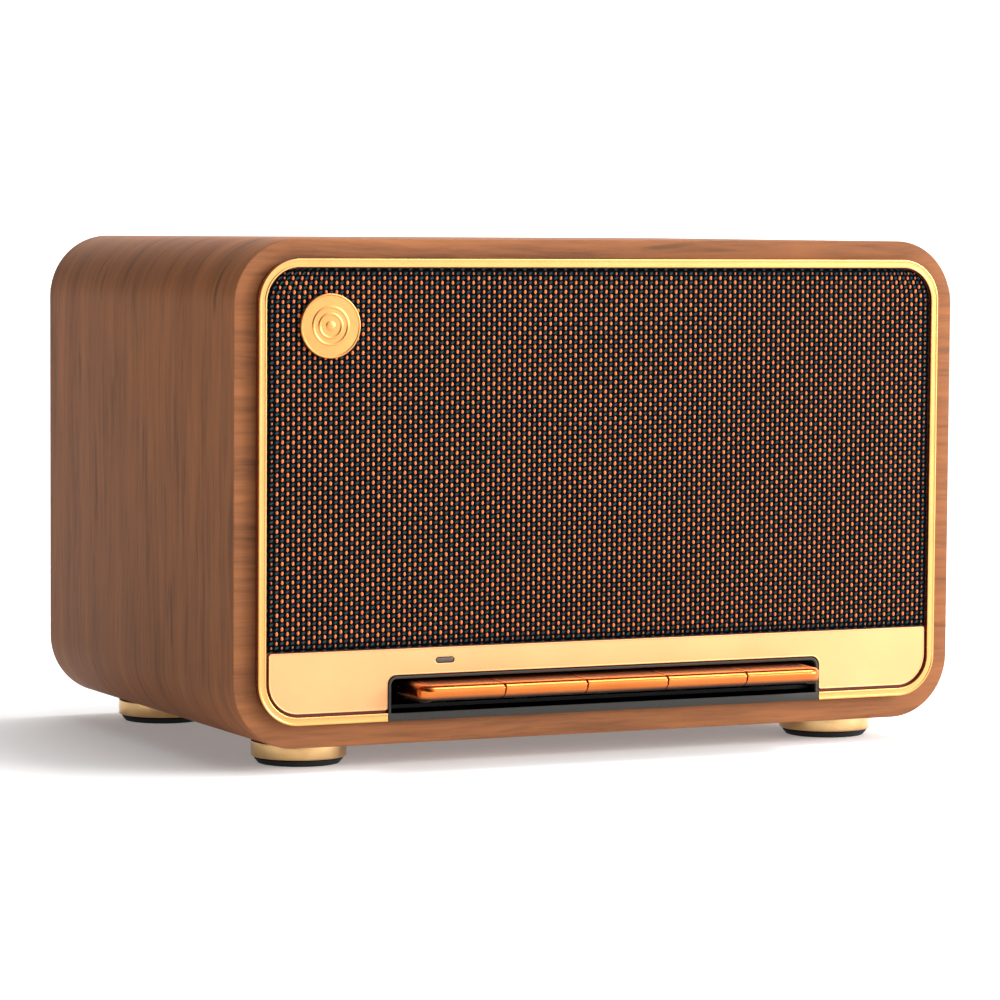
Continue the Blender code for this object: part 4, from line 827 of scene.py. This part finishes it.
# ---- key tray ----
# An open-fronted box of grey moulded plastic let into the front, with painted shade that turns it black
# further inside, in which the keys hang on a steel rod. A lip below its mouth closes the gap in the trim
# ring.
TRAY_WALL = 1.0 * MM
TRAY_EASE = 0.22 * MM
TRAY_FLOOR_RISE = 2.4 * MM
TRAY_FLOOR_REACH = 0.5 * MM
TRAY_FLOOR_SHARE = 0.3
TRAY_FOOT_CORNER = 0.4 * MM
TRAY_SHADE_FROM = 0.4 * MM
TRAY_SHADE_TO = 2.0 * MM
LIP_HEIGHT = 2.7 * MM
LIP_SETBACK = 22.0 * MM
LIP_BACK_EASE = 0.1 * MM

grey_moulding = Finish("grey moulding", {"Specular IOR Level": 0.3})
tray_place = grey_moulding.place()
grey_grain = grey_moulding.noise(tray_place, 2400.0, 3.0)
tray_grey = grey_moulding.ramp(grey_grain, (0.3, paint(38, 36, 32)), (0.7, paint(50, 47, 42)))
tray_depth = grey_moulding.parts(tray_place)[1] - fascia_low.y
# Painted shade: the grey darkens to near black from 0.4 mm to 2 mm behind the face of the plate.
painted_tray_shade = grey_moulding.remap(tray_depth, TRAY_SHADE_FROM, TRAY_SHADE_TO)
grey_moulding.shade(
    {
        "Base Color": grey_moulding.mix(painted_tray_shade, tray_grey, paint(7, 7, 8)),
        "Roughness": 0.36 + grey_grain * 0.2,
        "Normal": grey_moulding.bump(grey_grain, 0.03 * MM, 0.5),
    }
)
tray_sides = (tray_low.x, tray_high.x, tray_low.z + TRAY_FLOOR_RISE, tray_high.z)
tray_corners = [TRAY_FOOT_CORNER, MOUTH_CORNER, MOUTH_CORNER, TRAY_FOOT_CORNER]
tray_path, tray_normals, _ = round_outline(tray_sides, tray_corners, arc_steps=12, side_steps=12)
mouth_front = fascia_low.y
tray_inner_back = tray_high.y - TRAY_WALL
tray_rim = round_off(
    [(0.0, tray_high.y), (0.0, mouth_front), (TRAY_WALL, mouth_front), (TRAY_WALL, tray_inner_back)],
    [0.0, TRAY_EASE, TRAY_EASE, 0.0],
)[:-1]
on_floor = tray_path[:, 1:] < tray_sides[2] + TRAY_FLOOR_REACH
tray_normals = tray_normals * np.where(on_floor, (1.0, TRAY_FLOOR_SHARE), (1.0, 1.0))
tray_points = sweep(tray_path, tray_normals, tray_rim)
make_piece(
    "tray_box", tray_points, grey_moulding, "grey_plastic", "key_tray", fills=(tray_high.y, tray_inner_back)
)
lip_profile = round_off(
    [
        (tray_high.y - LIP_SETBACK, tray_low.z),
        (tray_low.y, tray_low.z),
        (tray_low.y, tray_low.z + LIP_HEIGHT),
        (tray_high.y - LIP_SETBACK, tray_low.z + LIP_HEIGHT),
    ],
    [LIP_BACK_EASE, TRAY_EASE, TRAY_EASE, LIP_BACK_EASE],
)
lip_x = np.array([tray_low.x, tray_low.x, tray_high.x, tray_high.x])
lip_loop = np.stack(np.broadcast_arrays(lip_x[:, None], *lip_profile.T[:, None]), -1)
lip_middle = lip_loop.mean(1, keepdims=True)
lip_points = np.where((np.arange(4) % 3 == 0)[:, None, None], lip_middle, lip_loop)
make_piece("tray_lip", lip_points, grey_moulding, "grey_plastic")


# ---- keys ----
# Five hollow caps of copper-plated plastic, each clipped on a black lever; under the turn of the nose a
# dark reflection is painted on.
# Together they make one long bar with a rounded nose, cut by four fine splits, and a groove runs along it
# just behind the nose.
KEYS = ("source_key", "volume_down_key", "play_key", "volume_up_key", "power_key")
TIP_DROP = 1.9 * MM
NOSE_DEPTH = 2.7 * MM
CHIN_DEPTH = 6.5 * MM
CHEEK_DEPTH = 1.2 * MM
NOSE_BACK = 7.5 * MM
SKIRT = 1.3 * MM
FRONT_SLOPE = 0.7 * MM
CAP_THICKNESS = 2.1 * MM
SPLIT_EASE = 0.35 * MM
ROW_END_CORNER = 5.0 * MM
GROOVE_SETBACK = 3.5 * MM
GROOVE_HALF_WIDTH = 0.5 * MM
GROOVE_DEPTH = 0.3 * MM
SPLIT_COLUMNS = np.array([0.0, 0.02, 0.06, 0.13, 0.24, 0.35]) * MM
LAST_NOSE_ROW = 6.0 * MM
STEP_REACH = 0.02 * MM
PAINTED_REFLECTION_ENDS_ABOVE = 25.3 * MM
PAINTED_REFLECTION_FULL_BELOW = 23.9 * MM

copper_plate = Finish("copper plate", {"Specular IOR Level": 0.05})
copper_place = copper_plate.place()
plate_cloud = copper_plate.noise(copper_place, 55.0, 3.0)
plate_wipe = copper_plate.noise(copper_plate.stretched(copper_place, 120.0, 2600.0, 2600.0), 1.0, 3.0)
# Painted dark reflection: below about 25 mm the copper is painted dark brown and made non-metallic,
# standing in for dark surroundings seen in the nose.
painted_reflection_fade = copper_plate.remap(copper_plate.parts(copper_place)[2], PAINTED_REFLECTION_FULL_BELOW, PAINTED_REFLECTION_ENDS_ABOVE)
copper_colour = copper_plate.ramp(plate_cloud, (0.3, paint(204, 112, 52)), (0.7, paint(214, 122, 60)))
copper_plate.shade(
    {
        "Base Color": copper_plate.mix(painted_reflection_fade, paint(30, 23, 20), copper_colour),
        "Metallic": painted_reflection_fade,
        "Roughness": 0.17 + plate_wipe * 0.06,
        "Normal": copper_plate.bump(plate_wipe, 0.006 * MM, 0.5),
    }
)


def quarter_drop(distance, radius):
    """How far a quarter circle has fallen at a distance in from its outer end, nothing past its radius."""
    share = np.clip(1.0 - distance / radius, 0.0, 1.0)
    return radius * (1.0 - np.sqrt(1.0 - share**2))


def bulge(distance, depth):
    """The height of a quarter ellipse, 0 to 1, at a distance in from its tip."""
    return np.sqrt(1.0 - np.clip(1.0 - distance / depth, 0.0, 1.0) ** 2)


def key_surfaces(low, high, left_corner, right_corner):
    """The top and the underside of a cap over one grid: columns run along the row and rows run back from
    the nose. In plan the front corners are quarter circles. A short quarter ellipse rises from the tip to
    the top and a long one falls to the base. Behind the nose the cap is hollow between two skirts."""
    left, front, base = low
    right, back, top_back = high
    end_columns = ROW_END_CORNER * np.linspace(0.0, 1.0, 31) ** 1.3
    ends = []
    for corner in (left_corner, right_corner):
        fine = end_columns if corner > SPLIT_EASE else SPLIT_COLUMNS
        ends.append(np.unique(np.concatenate([fine, [SKIRT - STEP_REACH, SKIRT]])))
    middle = np.linspace(left + ends[0][-1], right - ends[1][-1], 12)[1:-1]
    x = np.concatenate([left + ends[0], middle, right - ends[1][::-1]])
    nose_rows = NOSE_DEPTH * (1.0 - np.cos(np.linspace(0.0, math.pi / 2.0, 13)))
    groove_rows = GROOVE_SETBACK + GROOVE_HALF_WIDTH * np.linspace(-1.2, 2.4, 19)
    back_rows = np.linspace(NOSE_BACK, back - front, 8)
    setback = np.concatenate([nose_rows, groove_rows, [LAST_NOSE_ROW, NOSE_BACK - STEP_REACH], back_rows])
    start = quarter_drop(x - left, left_corner) + quarter_drop(right - x, right_corner)
    y = front + setback[:, None] + start * np.clip(1.0 - setback[:, None] / NOSE_BACK, 0.0, 1.0)
    x = np.broadcast_to(x, y.shape)
    inward = y - front
    chin = bulge(y - front, CHIN_DEPTH)
    ease = np.zeros_like(x)
    for distance, corner in ((x - left, left_corner), (right - x, right_corner)):
        if corner > SPLIT_EASE:
            turn_in = corner - np.hypot(distance - corner, y - front - corner)
            in_corner = (distance < corner) & (y < front + corner)
            beside = (distance < corner) & ~in_corner
            facing = np.clip((corner - distance) / np.maximum(corner - turn_in, STEP_REACH / 2.0), 0.0, 1.0)
            depth = CHIN_DEPTH + (CHEEK_DEPTH - CHIN_DEPTH) * facing
            inward = np.where(in_corner, turn_in, np.where(beside, distance, inward))
            cheek = np.where(beside, bulge(distance, CHEEK_DEPTH), chin)
            chin = np.where(in_corner, bulge(turn_in, depth), cheek)
        else:
            ease = ease + quarter_drop(distance, corner)
    inward = np.maximum(inward, 0.0)
    slope = np.clip((y - front - NOSE_DEPTH) / (back - front - NOSE_DEPTH), 0.0, 1.0)
    tip = top_back - FRONT_SLOPE - TIP_DROP
    top = tip + np.maximum(TIP_DROP * bulge(inward, NOSE_DEPTH) - ease, 0.0) + FRONT_SLOPE * slope
    groove = np.clip(np.abs(inward - GROOVE_SETBACK) / GROOVE_HALF_WIDTH, 0.0, 1.0)
    top = top - GROOVE_DEPTH * np.cos(groove * math.pi / 2.0) ** 2
    hollow = (setback[:, None] >= NOSE_BACK - STEP_REACH / 2.0) & (x >= left + SKIRT) & (x <= right - SKIRT)
    under = np.where(hollow, tip + TIP_DROP - CAP_THICKNESS, tip - (tip - base) * chin)
    return np.stack([x, y, top], -1), np.stack([x, y, np.minimum(under, top)], -1)


def closed_slab(top, under):
    """Joins two surfaces over the same grid by walls along its four sides."""
    rows, columns = top.shape[:2]
    count = rows * columns
    index = np.arange(count).reshape(rows, columns)
    rim = np.concatenate([index[0, :-1], index[:-1, -1], index[-1, :0:-1], index[:0:-1, 0]])
    walls = np.stack([rim, np.roll(rim, -1), np.roll(rim, -1) + count, rim + count], -1)
    points = np.concatenate([top.reshape(-1, 3), under.reshape(-1, 3)])
    return points, [grid_faces(rows, columns), grid_faces(rows, columns, count), walls]


for number, key in enumerate(KEYS):
    left_corner = ROW_END_CORNER if number == 0 else SPLIT_EASE
    right_corner = ROW_END_CORNER if number == len(KEYS) - 1 else SPLIT_EASE
    cap_points, cap_faces = closed_slab(*key_surfaces(*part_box(f"{key}_cap"), left_corner, right_corner))
    make_piece(
        f"{key}_copper_cap", cap_points, copper_plate, "key_copper", f"{key}_cap",
        faces=cap_faces, body=key, sharp=40.0,
    )
    dress(black_moulding, f"{key}_lever")


# ---- key rod, switch board and return pads ----
# The levers turn on a ground steel rod. Behind them a strip of circuit board carries a switch for each key,
# and a pad of soft matte rubber pushes the keys back up.
steel = grained(
    "bright steel", {"Metallic": 1.0}, (150, 152, 156), (186, 188, 190), 1.0, 3.0,
    rough=(0.22, 0.2), relief=(0.01 * MM, 0.4), draw=(90.0, 3600.0, 3600.0),
)
rubber = grained(
    "black rubber", {"Specular IOR Level": 0.3}, (20, 19, 19), (34, 33, 33), 1500.0, 4.0,
    rough=(0.62, 0.25), relief=(0.06 * MM, 0.6),
)
soft_rubber = grained(
    "soft black rubber", {"Specular IOR Level": 0.05}, (5, 5, 5), (13, 12, 12), 2200.0, 4.0,
    rough=(0.8, 0.2), relief=(0.1 * MM, 0.8),
)


def solder_mask(name, darkest, lightest, track, gloss):
    """A lacquered board: a fine glass weave under the lacquer, and raised tracks of a lighter colour."""
    board = Finish(name, {"Specular IOR Level": gloss})
    place = board.place()
    track_noise = board.noise(board.stretched(place, 240.0, 240.0, 240.0), 1.0, 1.0) - 0.5
    glass_weave = board.noise(place, 2200.0, 2.0)
    track_share = board.remap(track_noise.through("ABSOLUTE"), 0.012, 0.028, 1.0, 0.0)
    lacquer = board.ramp(glass_weave, (0.3, paint(*darkest)), (0.7, paint(*lightest)))
    board.shade(
        {
            "Base Color": board.mix(track_share, lacquer, paint(*track)),
            "Roughness": 0.36 + glass_weave * 0.15,
            "Normal": board.bump(track_share, 0.04 * MM, 0.6),
        }
    )
    return board


green_board = solder_mask("green circuit board", (14, 62, 36), (22, 84, 48), (60, 128, 70), gloss=0.5)
black_board = solder_mask("black circuit board", (8, 8, 9), (13, 13, 14), (22, 22, 23), gloss=0.1)
dress(steel, "key_pivot_rod")
dress(black_board, "key_board")
dress(soft_rubber, "key_return_pad")


# ---- baffle and drivers ----
# A board behind the cloth carries a woofer with a paper cone between two silk dome tweeters. They show only
# as a darker shade through the weave, and in full with the grille taken off.
fibreboard = grained(
    "black fibreboard", {"Specular IOR Level": 0.25}, (18, 17, 16), (38, 35, 33), 900.0, 5.0,
    rough=(0.7, 0.2), relief=(0.08 * MM, 0.5), broken=0.7, light_from=0.75,
)
cone_paper = grained(
    "cone paper", {"Specular IOR Level": 0.3}, (36, 35, 34), (64, 62, 60), 700.0, 5.0,
    rough=(0.7, 0.2), relief=(0.12 * MM, 0.6), broken=0.7, light_from=0.75,
)
silk = Finish("coated silk", {"Specular IOR Level": 0.5})
silk_x, _, silk_z = silk.parts(silk.place())
# Painted shade: the weave is darker in its hollows and lighter on its crests, following its relief.
thread_relief_and_shade = (silk_x * 9000.0).through("SINE") * (silk_z * 9000.0).through("SINE") * 0.5 + 0.5
silk.shade(
    {
        "Base Color": silk.ramp(thread_relief_and_shade, (0.0, paint(24, 22, 24)), (1.0, paint(46, 43, 45))),
        "Roughness": 0.42 + thread_relief_and_shade * 0.12,
        "Normal": silk.bump(thread_relief_and_shade, 0.05 * MM, 0.6),
    }
)
ferrite = grained(
    "ferrite", {"Specular IOR Level": 0.5}, (44, 44, 46), (66, 66, 68), 1300.0, 4.0,
    rough=(0.5, 0.2), relief=(0.05 * MM, 0.5),
)
winding = Finish("coil winding", {"Metallic": 1.0})
_, wire_y, _ = winding.parts(winding.place())
# Painted shade: each turn is darker in the groove beside it and lighter at its crest, following its relief.
turn_relief_and_shade = (wire_y * 16000.0).through("SINE") * 0.5 + 0.5
winding.shade(
    {
        "Base Color": winding.ramp(turn_relief_and_shade, (0.0, paint(120, 58, 26)), (1.0, paint(210, 124, 70))),
        "Roughness": 0.35 + turn_relief_and_shade * 0.1,
        "Normal": winding.bump(turn_relief_and_shade, 0.15 * MM, 0.8),
    }
)
dress(fibreboard, "front_baffle")
dress(black_moulding, "woofer_basket", "tweeter_faceplate_left", "tweeter_faceplate_right")
dress(ferrite, "woofer_magnet", "tweeter_magnet_left", "tweeter_magnet_right")
dress(rubber, "woofer_surround")
dress(cone_paper, "woofer_cone", "woofer_dust_cap")
dress(winding, "woofer_voice_coil")
dress(silk, "tweeter_dome_left", "tweeter_dome_right")


# ---- amplifier, input board and battery ----
# The electronics screwed behind the rear panel and on the floor: an amplifier board with a finned heatsink,
# a board for the two sockets, and a wrapped battery in a moulded cradle.
aluminium = grained(
    "extruded aluminium", {"Metallic": 1.0}, (158, 160, 162), (188, 190, 192), 1.0, 3.0,
    rough=(0.34, 0.2), relief=(0.02 * MM, 0.5), draw=(3000.0, 3000.0, 60.0),
)
battery_wrap = grained(
    "battery wrap", {"Specular IOR Level": 0.5}, (24, 66, 120), (36, 84, 146), 1.0, 4.0,
    rough=(0.3, 0.25), relief=(0.3 * MM, 0.5), draw=(30.0, 160.0, 160.0),
)
dress(green_board, "amplifier_board", "input_board")
dress(aluminium, "heatsink")
dress(black_moulding, "battery_cradle")
dress(battery_wrap, "battery_pack")


# ---- rear panel ----
# A flat black panel in the rebate of the cabinet, held by four cross-head screws, with a flared bass port
# and the charging and line-in sockets. Its face has a fine spark-eroded texture.
PORT_RADIUS = 17.0 * MM
PORT_FLARE = 7.0 * MM
PORT_WALL = 2.0 * MM
PORT_TUBE_EASE = 0.5 * MM
PORT_NECK_EASE = 0.2 * MM
PORT_SEAT_EASE = 0.1 * MM
PORT_FLANGE_EASE = 0.6 * MM
SEAT_GAP = 0.3 * MM
SCREW_HEAD_RADIUS = 2.8 * MM
SCREW_SHANK_RADIUS = 1.4 * MM
SCREW_HEAD_HEIGHT = 1.4 * MM
SCREW_EDGE_SHARE = 0.45
SCREW_CROSS_REACH = 1.5 * MM
SCREW_CROSS_HALF_WIDTH = 0.4 * MM
SCREW_CROSS_DEPTH = 0.8 * MM

spark_texture = grained(
    "spark-eroded black", {"Specular IOR Level": 0.45}, (20, 19, 18), (34, 32, 31), 1400.0, 4.0,
    rough=(0.48, 0.22), relief=(0.09 * MM, 0.6), broken=0.65,
)
dress(spark_texture, "rear_panel")
dress(black_moulding, "aux_socket")
dress(steel, "usb_socket")

REAR = (0.0, 1.0, 0.0)
port_low, port_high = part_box("bass_port")
port_centre = ((port_low.x + port_high.x) / 2.0, panel_high.y, (port_low.z + port_high.z) / 2.0)
port_mouth = port_high.y - panel_high.y
port_end = port_low.y - panel_high.y
flange_radius = PORT_RADIUS + PORT_WALL + PORT_FLARE
flare = np.linspace(0.0, math.pi / 2.0, 20)
port_flare = np.stack(
    [PORT_RADIUS + PORT_FLARE * (1.0 - np.sin(flare)), port_mouth - PORT_FLARE * (1.0 - np.cos(flare))], -1
)
port_tube = round_off(
    [
        (PORT_RADIUS, port_end),
        (PORT_RADIUS + PORT_WALL, port_end),
        (PORT_RADIUS + PORT_WALL, SEAT_GAP),
        (flange_radius, SEAT_GAP),
        (flange_radius, port_mouth),
        (PORT_RADIUS + PORT_FLARE, port_mouth),
    ],
    [PORT_TUBE_EASE, PORT_TUBE_EASE, PORT_NECK_EASE, PORT_SEAT_EASE, PORT_FLANGE_EASE, 0.0],
    5,
)[:-1]
port_points = turned(np.concatenate([port_tube, port_flare]), port_centre, REAR, SIDE, steps=120)
port_points = np.concatenate([port_points, port_points[:1]])
make_piece("flared_port", port_points, spark_texture, "black_plastic", "bass_port")

head_radius = np.linspace(0.0, SCREW_HEAD_RADIUS, 30)
head_dome = np.sqrt(1.0 - (head_radius / SCREW_HEAD_RADIUS) ** 2)
head_height = SEAT_GAP + SCREW_HEAD_HEIGHT * (SCREW_EDGE_SHARE + (1.0 - SCREW_EDGE_SHARE) * head_dome)
for corner in ("lower_left", "upper_left", "lower_right", "upper_right"):
    screw_low, screw_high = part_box(f"rear_screw_{corner}")
    screw_centre = ((screw_low.x + screw_high.x) / 2.0, panel_high.y, (screw_low.z + screw_high.z) / 2.0)
    screw_tip = screw_low.y - panel_high.y
    shank = [
        (SCREW_HEAD_RADIUS, SEAT_GAP),
        (SCREW_SHANK_RADIUS, SEAT_GAP),
        (SCREW_SHANK_RADIUS, screw_tip + SCREW_SHANK_RADIUS),
        (0.0, screw_tip),
    ]
    screw_profile = np.concatenate([np.stack([head_radius, head_height], -1), shank])
    screw_points = turned(screw_profile, screw_centre, REAR, SIDE, steps=72)
    beside = np.abs(screw_points[..., [0, 2]] - np.array(screw_centre)[[0, 2]])
    in_cross = (beside.min(-1) < SCREW_CROSS_HALF_WIDTH) & (beside.max(-1) < SCREW_CROSS_REACH)
    in_cross[len(head_radius):] = False
    screw_points[..., 1] -= np.where(in_cross, SCREW_CROSS_DEPTH, 0.0)
    make_piece(f"cross_head_screw_{corner}", screw_points, steel, "steel", f"rear_screw_{corner}")


# ---- feet ----
# Four turned brass rings bolted under the corners, each with a rubber pad pressed into it. The pads taper
# towards the table, so that the brass seems to float.
BOLT_HOLE = 2.1 * MM
FOOT_SOCKET_RADIUS = 11.5 * MM
FOOT_SOCKET_DEPTH = 2.6 * MM
PAD_TIP_RADIUS = 13.6 * MM
PAD_SHOULDER_RADIUS = 15.2 * MM
PAD_BOSS_RADIUS = 11.2 * MM
PAD_SHOULDER = 2.0 * MM
BORE_EASE = 0.1 * MM
FOOT_LIP_EASE = 0.3 * MM
FOOT_RIM_EASE = 0.55 * MM
FOOT_TOP_EASE = 0.45 * MM
PAD_TIP_EASE = 0.5 * MM
PAD_SHOULDER_EASE = 0.2 * MM

brass = grained(
    "turned brass", {"Metallic": 1.0}, (200, 160, 106), (218, 182, 130), 1.0, 3.0,
    rough=(0.16, 0.14), relief=(0.02 * MM, 0.6), draw=(3.0, 3.0, 5200.0), cloud=(120.0, 3.0),
)
for corner in ("front_left", "front_right", "rear_left", "rear_right"):
    foot_low, foot_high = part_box(f"foot_ring_{corner}")
    foot_centre = ((foot_low.x + foot_high.x) / 2.0, (foot_low.y + foot_high.y) / 2.0, 0.0)
    foot_radius = (foot_high.x - foot_low.x) / 2.0
    ring_section = round_off(
        [
            (BOLT_HOLE, foot_high.z),
            (BOLT_HOLE, foot_low.z + FOOT_SOCKET_DEPTH),
            (FOOT_SOCKET_RADIUS, foot_low.z + FOOT_SOCKET_DEPTH),
            (FOOT_SOCKET_RADIUS, foot_low.z),
            (foot_radius, foot_low.z),
            (foot_radius, foot_high.z),
        ],
        [BORE_EASE, BORE_EASE, BORE_EASE, FOOT_LIP_EASE, FOOT_RIM_EASE, FOOT_TOP_EASE],
        5,
    )
    foot_ring = turned(ring_section, foot_centre, UP, SIDE, steps=128)
    make_piece(f"brass_foot_{corner}", foot_ring, brass, "brass", f"foot_ring_{corner}")
    pad_low, pad_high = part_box(f"foot_pad_{corner}")
    pad_section = round_off(
        [
            (0.0, pad_low.z),
            (PAD_TIP_RADIUS, pad_low.z),
            (PAD_SHOULDER_RADIUS, PAD_SHOULDER),
            (PAD_BOSS_RADIUS, PAD_SHOULDER),
            (PAD_BOSS_RADIUS, pad_high.z),
            (0.0, pad_high.z),
        ],
        [0.0, PAD_TIP_EASE, PAD_SHOULDER_EASE, 0.0, BORE_EASE, 0.0],
        5,
    )[:-1]
    foot_pad = turned(pad_section, foot_centre, UP, SIDE, steps=128)
    make_piece(f"rubber_foot_{corner}", foot_pad, rubber, "rubber", f"foot_pad_{corner}")
    dress(steel, f"foot_bolt_{corner}")
